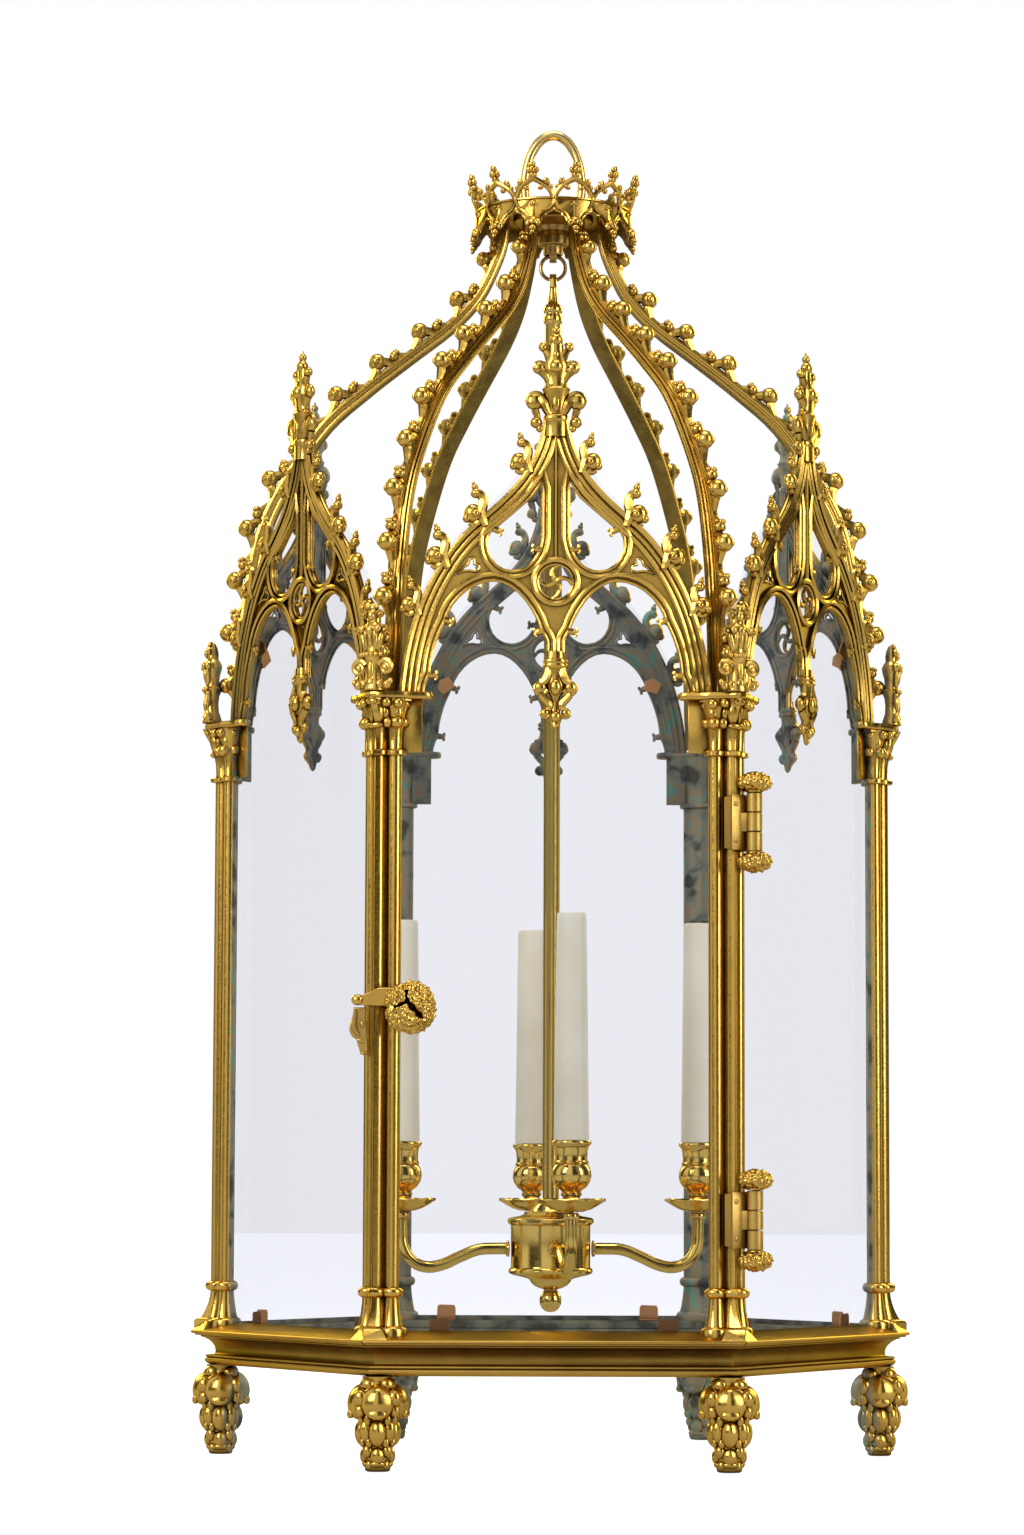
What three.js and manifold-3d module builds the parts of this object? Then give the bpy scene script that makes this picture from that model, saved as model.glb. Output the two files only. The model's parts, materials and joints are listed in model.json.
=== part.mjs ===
// Hexagonal Gothic hall lantern in cast, gilt brass, with a hinged glazed door and four candle lights.
// Millimetres, +Z up. The origin is on the floor under the lantern's axis; the door faces -Y.
import * as THREE from 'three';
import * as BufferGeometryUtils from 'three/addons/utils/BufferGeometryUtils.js';
import Module from 'manifold-3d';

const wasm = await Module();
wasm.setup();

// Plan of the lantern
const sideCount = 6;
const columnCircle = 248;
const seatGap = 0.3;
const doorGap = 0.4;
const railTipGap = 1.6;

// Feet and base frame
const footHeight = 66.4;
const footBulge = 23;
const footNeck = 10;
const footTip = 12.5;
const baseHeight = 28;
const ledgeThickness = 4.2;
const ledgeOverhang = 20.3;
const ledgeInset = 15;
const waistOverhang = 4.6;
const waistHeight = 9;
const bottomOverhang = 8.7;
const filletOverhang = 11.9;
const filletHeight = 5;

// Columns
const columnHeight = 457.4;
const columnBack = 8.5;
const columnReach = 8.5;
const columnHalfWidth = 14.5;
const keelRadius = 6;
const shaftRadius = 5.5;
const shaftSetback = 11;
const plinthHeight = 10;
const plinthReach = 15;
const plinthHalfWidth = 20;
const columnFootHeight = 27;
const columnFootFlare = 8;
const annuletHeight = 5;
const annuletSwell = 3;
const annuletEdge = 1;
const capitalHeight = 48;
const capitalLeafDrop = 18;
const capitalSwell = 7;
const abacusThickness = 6.7;
const abacusReach = 17.5;
const abacusHalfWidth = 26;

// Pinnacles on the abaci
const pinnacleHeight = 62;
const pinnacleHalfWidth = 18;
const pinnacleDepth = 12;
const pinnacleSetback = 7;

// Tracery arches
const traceryBack = 4;
const traceryFront = 4;
const mouldingRelief = 3;
const mouldingWidth = 5.5;
const archRise = 200;
const archInset = 12;
const crocketSize = 7.4;
const crocketTilt = 1.4;
const archFinialHeight = 72;
const archFinialHalfWidth = 21;
const pendantHalfWidth = 15.5;
const pendantHeight = 58;
const ornamentSetback = 4.4;

// Glazing
const glassThickness = 3;
const glassEndInset = 10.6;
const glassMargin = 3;

// Roof ribs
const ribDepth = 18;
const ribTopDepth = 5.5;
const ribHalfWidth = 4;
const ribCrestHalfWidth = 2;
const ribFootInset = 5;
const ribHubGap = 1;
const ribCrocketSize = 7.5;
const ribCrockets = 7;
const ribSteps = 12;
const roofRise = 392;

// Crown, hub and hanging loop
const crownRadius = 59.5;
const crownWall = 4;
const crownBandHeight = 22;
const crownFloorThickness = 4;
const crownRimRise = 5.3;
const crownWaistDepth = 1.5;
const crownDropHeight = 13;
const crownDropRadius = 4.6;
const crownFinialHeight = 27;
const crownFinialRadius = 5.2;
const crownFinialTilt = 6;
const crownGableHeight = 15;
const crownGableThickness = 3;
const crownPoints = 12;
const hubPlateRadius = 34;
const hubPlateThickness = 6.5;
const hubFlangeRadius = 17;
const hubFlangeThickness = 7;
const hubFlangeDrop = 11;
const hubBossRadius = 8;
const lugThickness = 5.7;
const loopRodDiameter = 7.6;
const loopWidth = 47;
const loopHeight = 65.4;

// Hanging ring and stem of the light
const ringRadius = 9.5;
const ringWire = 2.9;
const ringDrop = 38;
const ringToHub = 1.4;
const ringSlack = 0.5;
const eyeClearance = 1.25;
const eyeRim = 4;
const stemEyeThickness = 5.3;
const stemRodDiameter = 12.5;
const stemNeckDiameter = 5;
const knopDiameter = 15;
const knopHeight = 13;
const knopDrop = 29.7;

// Four-light body
const bodyRadius = 31.5;
const bodyTopHeight = 191;
const bodyDomeHeight = 16;
const bodyDrumHeight = 39;
const bodyConeHeight = 11.5;
const bodyBallRadius = 9;
const armCount = 4;
const armTurn = 7;
const armReach = 113;
const armDiameter = 9;
const armRootHeight = 154;
const armDip = 13;
const panDiameter = 51;
const panHeight = 182;
const panDepth = 7;
const panMetal = 2.4;
const cupDiameter = 29.5;
const cupHeight = 52;
const cupFootRadius = 6;
const sleeveDiameter = 26;
const sleeveTopDiameter = 22;
const sleeveLength = 167;
const sleeveWall = 2;
const lampholderDiameter = 15;
const socketDiameter = 11;
const socketDepth = 26;
const socketSetback = 9;

// Door hinges
const hingeAcross = 9;
const hingeOut = 20;
const barrelDiameter = 10.7;
const barrelLength = 42;
const pinDiameter = 5;
const pinFit = 0.35;
const leafThickness = 3;
const leafMargin = 1;
const knobHingeDiameter = 23;
const knobHingeHeight = 14;
const lowerHingeRise = 82;
const upperHingeDrop = 93.4;

// Door latch
const latchRise = 236;
const latchInset = 17;
const latchKnobDiameter = 36;
const latchKnobDepth = 21;
const latchStandOff = 10;
const latchBossDiameter = 13;
const knobSink = 0.5;
const tongueThickness = 3;
const tongueWidth = 12;
const tongueLength = 36;
const tongueRoot = 6;
const latchSpindle = 6;
const catchDrop = 42;
const catchWidth = 14;

const rad = Math.PI / 180;
const apothem = columnCircle * Math.cos(Math.PI / sideCount);
const panelHalf = columnCircle * Math.sin(Math.PI / sideCount);
const baseBottom = footHeight + seatGap;
const ledgeTop = baseBottom + baseHeight;
const railBottom = ledgeTop - ledgeThickness;
const columnBottom = ledgeTop + seatGap;
const abacusTop = columnBottom + columnHeight;
const springing = abacusTop + seatGap;
const archHalf = panelHalf - archInset;
const ribTop = springing + roofRise;
const latchX = -panelHalf + latchInset;
const latchHeight = columnBottom + latchRise;
const hingeMiddles = { lower: columnBottom + lowerHingeRise, upper: abacusTop - upperHingeDrop };

const brass = { color: 0xc9962f, roughness: 0.26, metalness: 1 };
const paleBrass = { color: 0xd4a640, roughness: 0.2, metalness: 1 };
const darkBrass = { color: 0xa9771f, roughness: 0.34, metalness: 1 };
const glassLook = { color: 0xe6ecee, roughness: 0.03, metalness: 0, transparent: true, opacity: 0.22 };
const ivory = { color: 0xefe6c4, roughness: 0.5, metalness: 0 };

// Solids and booleans

function solidFrom(geometry) {
  const bare = geometry.clone();
  for (const name of Object.keys(bare.attributes)) {
    if (name !== 'position') bare.deleteAttribute(name);
  }
  const merged = BufferGeometryUtils.mergeVertices(bare, 1e-4);
  const places = merged.attributes.position.array;
  const corners = [];
  let volume = 0;
  for (let i = 0; i < merged.index.count; i += 3) {
    const [a, b, c] = merged.index.array.slice(i, i + 3);
    if (a === b || b === c || c === a) continue;
    corners.push(a, b, c);
    const pa = new THREE.Vector3().fromArray(places, 3 * a);
    const pb = new THREE.Vector3().fromArray(places, 3 * b);
    const pc = new THREE.Vector3().fromArray(places, 3 * c);
    volume += pa.dot(pb.cross(pc));
  }
  if (volume < 0) corners.reverse();
  const vertProperties = new Float32Array(places);
  const triVerts = new Uint32Array(corners);
  return new wasm.Manifold(new wasm.Mesh({ numProp: 3, vertProperties, triVerts }));
}

function geometryFrom(solid) {
  const mesh = solid.getMesh();
  const geometry = new THREE.BufferGeometry();
  geometry.setAttribute('position', new THREE.BufferAttribute(mesh.vertProperties, 3));
  geometry.setIndex(new THREE.BufferAttribute(mesh.triVerts, 1));
  geometry.computeVertexNormals();
  return geometry;
}

function joined(solids) {
  return solids.reduce((whole, part) => whole.add(part));
}

function cutBy(solid, tools) {
  return tools.reduce((rest, tool) => rest.subtract(tool), solid);
}

// Basic forms, each standing along +Z

function revolved(profile, segments) {
  const points = profile.map(([r, z]) => new THREE.Vector2(r, z));
  return new THREE.LatheGeometry(points, segments).rotateX(Math.PI / 2);
}

function closedProfile(profile) {
  return [[0, profile[0][1]], ...profile, [0, profile[profile.length - 1][1]]];
}

function turnedSolid(profile, segments) {
  return solidFrom(revolved(closedProfile(profile), segments));
}

function box(sizeX, sizeY, sizeZ, x, y, z) {
  return solidFrom(new THREE.BoxGeometry(sizeX, sizeY, sizeZ).translate(x, y, z));
}

function wallCorners(rings) {
  const count = rings[0].length;
  const corners = [];
  for (let level = 0; level + 1 < rings.length; level += 1) {
    for (let i = 0; i < count; i += 1) {
      const a = level * count + i;
      const b = level * count + ((i + 1) % count);
      corners.push(a, b, b + count, a, b + count, a + count);
    }
  }
  return corners;
}

function solidFromRings(rings, ends) {
  const last = (rings.length - 1) * rings[0].length;
  const corners = wallCorners(rings);
  for (const [a, b, c] of ends) {
    corners.push(a, c, b, last + a, last + b, last + c);
  }
  const geometry = new THREE.BufferGeometry();
  geometry.setAttribute('position', new THREE.Float32BufferAttribute(rings.flat(2), 3));
  geometry.setIndex(corners);
  return solidFrom(geometry);
}

// A loft between level rings
function lofted(rings) {
  const flat = rings[0].map(([x, y]) => new THREE.Vector2(x, y));
  return solidFromRings(rings, THREE.ShapeUtils.triangulateShape(flat, []));
}

// A loft between convex rings that may stand at any angle
function sideLoft(rings) {
  const fan = rings[0].slice(2).map((point, i) => [0, i + 1, i + 2]);
  return solidFromRings(rings, fan);
}

function roundSection(radius, sides) {
  const shape = new THREE.Shape();
  for (let i = 0; i < sides; i += 1) {
    const angle = (2 * Math.PI * (i + 0.5)) / sides;
    const x = radius * Math.cos(angle);
    const y = radius * Math.sin(angle);
    if (i === 0) shape.moveTo(x, y);
    else shape.lineTo(x, y);
  }
  shape.closePath();
  return shape;
}

function rod(points, radius, sides, steps) {
  const path = new THREE.CatmullRomCurve3(points.map((p) => new THREE.Vector3(...p)));
  const options = { steps, extrudePath: path, curveSegments: 1, bevelEnabled: false };
  return solidFrom(new THREE.ExtrudeGeometry(roundSection(radius, sides), options));
}

// A leafy casting: a revolved form whose rim is drawn in between its lobes and that may be flattened
function leafyCasting(profile, segments, lobes, lobeDepth, flatten = 1) {
  const rings = profile.map(([r, z, swell = 1]) => {
    const ring = [];
    for (let i = 0; i < segments; i += 1) {
      const angle = (2 * Math.PI * i) / segments;
      const radius = r * (1 - lobeDepth * swell * (1 - Math.cos(lobes * angle)));
      ring.push([radius * Math.cos(angle) * flatten, radius * Math.sin(angle), z]);
    }
    return ring;
  });
  return lofted(rings);
}

// Placing of pieces

const lantern = new THREE.Group();

function addPiece(name, solid, look, turn = 0, place = [0, 0, 0]) {
  const mesh = new THREE.Mesh(geometryFrom(solid), new THREE.MeshStandardMaterial(look));
  mesh.name = name;
  mesh.rotation.z = turn;
  mesh.position.set(...place);
  lantern.add(mesh);
  return mesh;
}

const corners = [
  { name: 'front_right', angle: -60 },
  { name: 'right', angle: 0 },
  { name: 'back_right', angle: 60 },
  { name: 'back_left', angle: 120 },
  { name: 'left', angle: 180 },
  { name: 'front_left', angle: 240 },
];
const panels = ['front', 'right_front', 'right_back', 'back', 'left_back', 'left_front'];

function cornerPlace(corner) {
  const angle = corner.angle * rad;
  return [columnCircle * Math.cos(angle), columnCircle * Math.sin(angle), 0];
}

function panelTurn(index) {
  return (2 * Math.PI * index) / sideCount;
}

function panelPlace(index) {
  const angle = panelTurn(index);
  return [apothem * Math.sin(angle), -apothem * Math.cos(angle), 0];
}

// Feet: pendant leaf castings that the lantern also stands on

function footSolid() {
  const h = footHeight;
  const profile = [
    [footTip * 0.8, 0, 0.5],
    [footTip, h * 0.08],
    [footTip * 0.92, h * 0.2],
    [footBulge * 0.78, h * 0.38],
    [footBulge * 0.72, h * 0.47],
    [footTip * 0.96, h * 0.54, 0.4],
    [footBulge * 0.98, h * 0.68],
    [footBulge, h * 0.79],
    [footBulge * 0.66, h * 0.89, 0.5],
    [footNeck, h * 0.93, 0],
    [footNeck, h, 0],
  ];
  return leafyCasting(profile, 8, 4, 0.1);
}

for (const corner of corners) {
  addPiece(`foot_${corner.name}`, footSolid(), brass, corner.angle * rad, cornerPlace(corner));
}

// Base frame: a moulded hexagonal ring. The front length of its top ledge swings with the door.

function hexagonRing(profile) {
  const rings = [];
  for (let i = 0; i < sideCount; i += 1) {
    const angle = (i + 0.5) * ((2 * Math.PI) / sideCount) - Math.PI / 2;
    const reach = 1 / Math.cos(Math.PI / sideCount);
    rings.push(profile.map(([out, z]) => {
      const r = (apothem + out) * reach;
      return [r * Math.cos(angle), r * Math.sin(angle), z];
    }));
  }
  const count = profile.length;
  const sides = [];
  for (let i = 0; i < sideCount; i += 1) {
    const next = ((i + 1) % sideCount) * count;
    for (let j = 0; j < count; j += 1) {
      const k = (j + 1) % count;
      const a = i * count + j;
      const b = next + j;
      sides.push(a, b, next + k, a, next + k, i * count + k);
    }
  }
  const geometry = new THREE.BufferGeometry();
  geometry.setAttribute('position', new THREE.Float32BufferAttribute(rings.flat(2), 3));
  geometry.setIndex(sides);
  return solidFrom(geometry);
}

const ledgeProfile = [
  [-ledgeInset, railBottom],
  [ledgeOverhang - 1, railBottom],
  [ledgeOverhang, railBottom + 0.25 * ledgeThickness],
  [ledgeOverhang, ledgeTop - 0.25 * ledgeThickness],
  [ledgeOverhang - 1, ledgeTop],
  [-ledgeInset, ledgeTop],
];

const baseProfile = [
  [-ledgeInset, baseBottom],
  [bottomOverhang, baseBottom],
  [filletOverhang, baseBottom + filletHeight],
  [filletOverhang, baseBottom + filletHeight * 1.6],
  [waistOverhang + 1, baseBottom + waistHeight + 2],
  [waistOverhang, baseBottom + waistHeight + 6],
  [waistOverhang + 3, railBottom - 3],
  [ledgeOverhang - 6.5, railBottom],
  ...ledgeProfile.slice(1),
];

// Sector between the two front corners, seen from above, pulled in or let out by a small margin
function frontSector(margin, bottom, top) {
  const reach = 2 * columnCircle;
  const shape = new THREE.Shape();
  const lean = Math.tan(Math.PI / sideCount);
  const tip = -margin / Math.sin(Math.PI / sideCount);
  shape.moveTo(0, tip);
  shape.lineTo(-reach * lean, tip - reach);
  shape.lineTo(reach * lean, tip - reach);
  shape.closePath();
  const geometry = new THREE.ExtrudeGeometry(shape, { depth: top - bottom, bevelEnabled: false });
  return solidFrom(geometry.translate(0, 0, bottom));
}

const baseSolid = cutBy(hexagonRing(baseProfile), [
  frontSector(-doorGap / 2, railBottom - seatGap, ledgeTop + 1),
]);
addPiece('base_frame', baseSolid, brass);

// The rail stops short of the seam, so that its tip swings past the fixed corner beside the hinges
const railSector = frontSector(railTipGap / 2, railBottom - 1, ledgeTop + 1);
const railSolid = hexagonRing(ledgeProfile).intersect(railSector);
addPiece('door_rail', railSolid, brass);

// Clustered columns: a keeled middle shaft between two round ones, seen in plan with x outward

function clusterOutline() {
  const arc = (x, y, radius, angle) => {
    return [x + radius * Math.cos(angle * rad), y + radius * Math.sin(angle * rad)];
  };
  const shaftX = columnReach - shaftSetback;
  const shaftY = columnHalfWidth - shaftRadius;
  const keelX = columnReach - keelRadius;
  const half = [
    [-columnBack, shaftY + 0.3 * shaftRadius],
    arc(shaftX, shaftY, shaftRadius, 100),
    arc(shaftX, shaftY, shaftRadius, 30),
    arc(shaftX, shaftY, shaftRadius, -38),
    arc(keelX, 0, keelRadius, 50),
    arc(keelX, 0, keelRadius, 12),
  ];
  const other = half.map(([x, y]) => [x, -y]);
  return [...other, ...half.reverse()];
}

// Heights of a raised ring's lower and upper edges, with the shaft's size just outside them
function annuletLevels(bottom) {
  const reach = columnReach + annuletSwell;
  const halfWidth = columnHalfWidth + annuletSwell;
  return [
    [bottom, columnReach, columnHalfWidth],
    [bottom + annuletEdge, reach, halfWidth],
    [bottom + annuletHeight, reach, halfWidth],
    [bottom + annuletHeight + annuletEdge, columnReach, columnHalfWidth],
  ];
}

const capitalBottom = columnHeight - capitalHeight;
const columnLevels = [
  [0, plinthReach, plinthHalfWidth],
  [plinthHeight, plinthReach, plinthHalfWidth],
  [columnFootHeight - columnFootFlare, columnReach + annuletEdge, columnHalfWidth + annuletEdge],
  ...annuletLevels(columnFootHeight),
  ...annuletLevels(capitalBottom),
  [columnHeight - capitalLeafDrop, columnReach + 0.8 * capitalSwell, columnHalfWidth + 0.8 * capitalSwell],
  [columnHeight - abacusThickness - annuletEdge, columnReach + capitalSwell, columnHalfWidth + capitalSwell],
  [columnHeight - abacusThickness, abacusReach, abacusHalfWidth],
  [columnHeight, abacusReach, abacusHalfWidth],
];

function columnSolid(margin = 0) {
  const outline = clusterOutline();
  const rings = columnLevels.map(([z, reach, halfWidth]) => {
    const outward = (reach + columnBack + 2 * margin) / (columnReach + columnBack);
    const across = (halfWidth + margin) / columnHalfWidth;
    return outline.map(([x, y]) => {
      return [(x + columnBack) * outward - columnBack - margin, y * across, columnBottom + z];
    });
  });
  return lofted(rings);
}

function pinnacleSolid() {
  const w = pinnacleHalfWidth;
  const h = pinnacleHeight;
  const profile = [
    [w * 0.62, -1, 0],
    [w * 0.7, h * 0.06, 0],
    [w, h * 0.14],
    [w * 0.95, h * 0.25],
    [w * 0.45, h * 0.36],
    [w * 0.72, h * 0.52],
    [w * 0.3, h * 0.66],
    [w * 0.5, h * 0.82],
    [w * 0.14, h],
  ];
  const form = leafyCasting(profile, 6, 3, 0, pinnacleDepth / 2 / w);
  return form.translate([pinnacleSetback + pinnacleDepth / 2, 0, abacusTop]);
}

// Round bar square to the door at the latch's middle, seen from the door's plane: boss, bore or spindle
function latchBar(radius, back, front, sides) {
  const form = new THREE.CylinderGeometry(radius, radius, front - back, sides);
  return solidFrom(form.translate(0, -(front + back) / 2, 0));
}

// Moves a solid from the latch's middle into the plan of a column, with x outward from the lantern
function fromLatchTo(corner, solid) {
  const [x, y] = cornerPlace(corner);
  return solid.translate([latchX - x, -apothem - y, latchHeight]).rotate([0, 0, -corner.angle]);
}

function pinnacleHalf(doorSide) {
  const size = 4 * abacusHalfWidth;
  const height = 2 * abacusThickness;
  const overhang = box(size, size, height, 0, -doorSide * (size / 2 - doorGap / 2), springing - height / 2);
  return cutBy(pinnacleSolid(), [overhang]);
}

// A front column is split by the door's seam. The door takes one half and the whole pinnacle.
function addSplitColumn(corner, place) {
  const turn = corner.angle * rad;
  const doorSide = corner.name === 'front_right' ? -1 : 1;
  const whole = columnSolid();
  const fixedHalf = whole.trimByPlane([0, -doorSide, 0], doorGap / 2);
  const swingHalf = whole.trimByPlane([0, doorSide, 0], doorGap / 2);
  let stile = swingHalf.add(pinnacleHalf(doorSide));
  if (corner.name === 'front_left') {
    const boss = latchBar(latchBossDiameter / 2, -traceryBack + seatGap, latchStandOff - 1, 10);
    const bore = latchBar(latchSpindle / 2 + pinFit, -latchStandOff - traceryBack, 2 * latchStandOff, 10);
    stile = cutBy(stile.add(fromLatchTo(corner, boss)), [fromLatchTo(corner, bore)]);
  }
  addPiece(`half_column_${corner.name}`, fixedHalf, brass, turn, place);
  addPiece(`door_stile_${corner.name.replace('front_', '')}`, stile, brass, turn, place);
}

for (const corner of corners) {
  const place = cornerPlace(corner);
  if (corner.name.startsWith('front')) {
    addSplitColumn(corner, place);
  } else {
    const column = columnSolid().add(pinnacleSolid());
    addPiece(`column_${corner.name}`, column, brass, corner.angle * rad, place);
  }
}

// Gothic tracery, drawn in the panel's plane in hundredths of the arch: across from its middle as a
// share of half its width, and up from its springing as a share of its rise
function drawn([across, up]) {
  return [(across / 100) * archHalf, springing + (up / 100) * archRise];
}

function drawPath(path, start, strokes, mirror = 1) {
  const at = (point) => drawn([mirror * point[0], point[1]]);
  path.moveTo(...at(start));
  for (const stroke of strokes) {
    const points = stroke.map(at);
    if (points.length === 1) path.lineTo(...points[0]);
    if (points.length === 2) path.quadraticCurveTo(...points[0], ...points[1]);
    if (points.length === 3) path.bezierCurveTo(...points[0], ...points[1], ...points[2]);
  }
  return path;
}

const ogeeStart = [100, 0];
const ogeeStrokes = [
  [[97.5, 19.5], [86.5, 41.5], [59, 58]],
  [[39.5, 69], [12.5, 76.5], [8, 100]],
];
const lancetStart = [-84, 0];
const lancetStrokes = [
  [[-83, 3.5], [-78.5, 6]],
  [[-87.5, 18], [-68, 26.5]],
  [[-64.5, 34], [-46.5, 38]],
  [[-30.5, 34], [-25, 26.5]],
  [[-18, 27], [-13.5, 20]],
  [[-8, 18], [-7, 10]],
];
const teardropStart = [-7, 73.5];
const teardropStrokes = [
  [[-11.5, 70], [-19.5, 65], [-34, 58.5]],
  [[-48, 55], [-46.5, 43], [-27.5, 42]],
  [[-15, 42], [-10.5, 46.5], [-11.5, 52]],
  [[-7, 55], [-7, 66], [-7, 73.5]],
];
const spandrelStart = [-51, 50.5];
const spandrelStrokes = [[[-61, 43.5]], [[-50, 43.5]], [[-51, 50.5]]];
const whorlMiddle = [0, 38];
const whorlComma = [[10.7, 6], [10.7, 38], [10.7, 70], [4.8, 102], [2.3, 70], [5.9, 36]];
const crocketPlaces = [[90, 30], [77.5, 46.5], [50.5, 63], [23, 80]];
const apexPlace = [0, 100];
const pendantCollar = [0, 11];

function ogeePoints() {
  return drawPath(new THREE.Path(), ogeeStart, ogeeStrokes).getPoints(4);
}

function archShape() {
  const outer = ogeePoints();
  const left = outer.map((p) => new THREE.Vector2(-p.x, p.y));
  const foot = drawPath(new THREE.Path(), lancetStart, lancetStrokes).getPoints(2);
  const right = foot.map((p) => new THREE.Vector2(-p.x, p.y));
  return new THREE.Shape([...left, ...outer.reverse(), ...right, ...foot.reverse()].reverse());
}

// Four comma-shaped openings swirl inside the roundel, with curved bars left between them
function whorlHoles() {
  const [, middle] = drawn(whorlMiddle);
  return [0, 90, 180, 270].map((start) => new THREE.Path(whorlComma.map(([share, angle]) => {
    const radius = (share / 100) * archHalf;
    const turn = (start + angle) * rad;
    return new THREE.Vector2(radius * Math.cos(turn), middle + radius * Math.sin(turn));
  })));
}

function traceryHoles() {
  const holes = whorlHoles();
  for (const mirror of [1, -1]) {
    holes.push(drawPath(new THREE.Path(), teardropStart, teardropStrokes, mirror));
    holes.push(drawPath(new THREE.Path(), spandrelStart, spandrelStrokes, mirror));
  }
  return holes;
}

// Turns a drawing into a plate that stands in the panel, from one depth to another
function standingPlate(shape, back, front, curveSegments) {
  const options = { depth: front - back, bevelEnabled: false, curveSegments };
  const geometry = new THREE.ExtrudeGeometry(shape, options).translate(0, 0, back);
  return solidFrom(geometry.rotateX(Math.PI / 2));
}

function offsetLine(points, distance) {
  return points.map((point, i) => {
    const before = points[Math.max(i - 1, 0)];
    const after = points[Math.min(i + 1, points.length - 1)];
    const along = after.clone().sub(before).normalize();
    return new THREE.Vector2(point.x - along.y * distance, point.y + along.x * distance);
  });
}

function mouldingSolids() {
  const outer = ogeePoints();
  const inner = offsetLine(outer, mouldingWidth);
  inner[0].y = springing;
  const half = new THREE.Shape([...outer, ...inner.reverse()]);
  const other = new THREE.Shape(half.getPoints().map((p) => new THREE.Vector2(-p.x, p.y)).reverse());
  const front = traceryFront + mouldingRelief;
  return [half, other].map((shape) => standingPlate(shape, traceryFront - 1, front, 1));
}

function crocketSolid(place) {
  const [x, z] = drawn(place);
  const depth = (traceryFront + crocketTilt) / crocketSize;
  const bud = new THREE.OctahedronGeometry(crocketSize, 0).scale(1.1, depth, 1.6);
  return solidFrom(bud.translate(x, -crocketTilt, z + 0.4 * crocketSize));
}

function archFinialSolid() {
  const w = archFinialHalfWidth;
  const h = archFinialHeight;
  const profile = [
    [w * 0.4, h * -0.06, 0],
    [w * 0.42, h * 0.04, 0],
    [w * 0.3, h * 0.09, 0],
    [w, h * 0.19],
    [w * 0.36, h * 0.3],
    [w * 0.2, h * 0.42],
    [w * 0.84, h * 0.55],
    [w * 0.5, h * 0.66],
    [w * 0.62, h * 0.78],
    [w * 0.1, h],
  ];
  const [, apex] = drawn(apexPlace);
  const form = leafyCasting(profile, 6, 3, 0, 0.45);
  return form.rotate([0, 0, 90]).translate([0, -crocketTilt, apex]);
}

function pendantSolid() {
  const w = pendantHalfWidth;
  const h = pendantHeight;
  const profile = [
    [w * 0.12, 0],
    [w * 0.6, h * 0.2],
    [w * 0.4, h * 0.34],
    [w, h * 0.48],
    [w * 0.5, h * 0.66],
    [w * 0.6, h * 0.78, 0],
    [w * 0.6, h * 0.88, 0],
    [w * 0.42, h, 0],
  ];
  const [, collar] = drawn(pendantCollar);
  const form = leafyCasting(profile, 6, 3, 0, 0.5);
  return form.rotate([0, 0, 90]).translate([0, -ornamentSetback, collar - h * 0.83]);
}

function tracerySolid() {
  const shape = archShape();
  shape.holes.push(...traceryHoles());
  const parts = [standingPlate(shape, -traceryBack, traceryFront, 2), ...mouldingSolids()];
  for (const [across, up] of crocketPlaces) {
    parts.push(crocketSolid([across, up]), crocketSolid([-across, up]));
  }
  parts.push(archFinialSolid(), pendantSolid());
  return joined(parts);
}

// Glass behind each arch, cut to follow it. Its top is cut level just under the arch's point.
function glassSolid() {
  const widest = panelHalf - glassEndInset;
  const levelTop = springing + archRise - 2 * glassMargin;
  const edge = offsetLine(ogeePoints(), -glassMargin).filter((p) => p.y < levelTop);
  const right = edge.map((p) => new THREE.Vector2(Math.min(p.x, widest), p.y));
  right[0].y = springing;
  const left = right.map((p) => new THREE.Vector2(-p.x, p.y)).reverse();
  const foot = [new THREE.Vector2(-widest, columnBottom), new THREE.Vector2(widest, columnBottom)];
  const front = -traceryBack - seatGap;
  return standingPlate(new THREE.Shape([...foot, ...right, ...left]), front - glassThickness, front, 1);
}

panels.forEach((panel, index) => {
  addPiece(`tracery_${panel}`, tracerySolid(), brass, panelTurn(index), panelPlace(index));
  addPiece(`glass_${panel}`, glassSolid(), glassLook, panelTurn(index), panelPlace(index));
});

// Roof ribs: ogee bars with ball crockets, each seen from the side with x outward from the axis.
// The crest goes from the column to the crown: shares of that reach, and of the roof's rise.
const crestShape = [
  [1, 0], [0.985, 0.17], [0.94, 0.325], [0.86, 0.435], [0.755, 0.535], [0.63, 0.615], [0.495, 0.67],
  [0.355, 0.73], [0.2, 0.79], [0.09, 0.85], [0.027, 0.915], [0, 0.96], [0, 1],
];
const ribFootReach = columnCircle - ribFootInset;
const ribTopReach = hubPlateRadius + ribHubGap + ribTopDepth;
const slimFootShare = 0.08;
const slimTopShare = 0.25;

function crestCurve() {
  return new THREE.CatmullRomCurve3(crestShape.map(([reach, rise]) => {
    const r = ribTopReach + (ribFootReach - ribTopReach) * reach;
    return new THREE.Vector3(r, 0, springing + roofRise * rise);
  }));
}

// Depth of the bar at a share of its length: slim where it stands on the abacus and towards the crown
function ribDepthAt(share) {
  if (share < slimFootShare) return ribDepth * (0.55 + 0.45 * (share / slimFootShare));
  const taper = Math.max(0, 1 - (1 - share) / slimTopShare);
  return ribDepth + (ribTopDepth - ribDepth) * taper;
}

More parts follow.
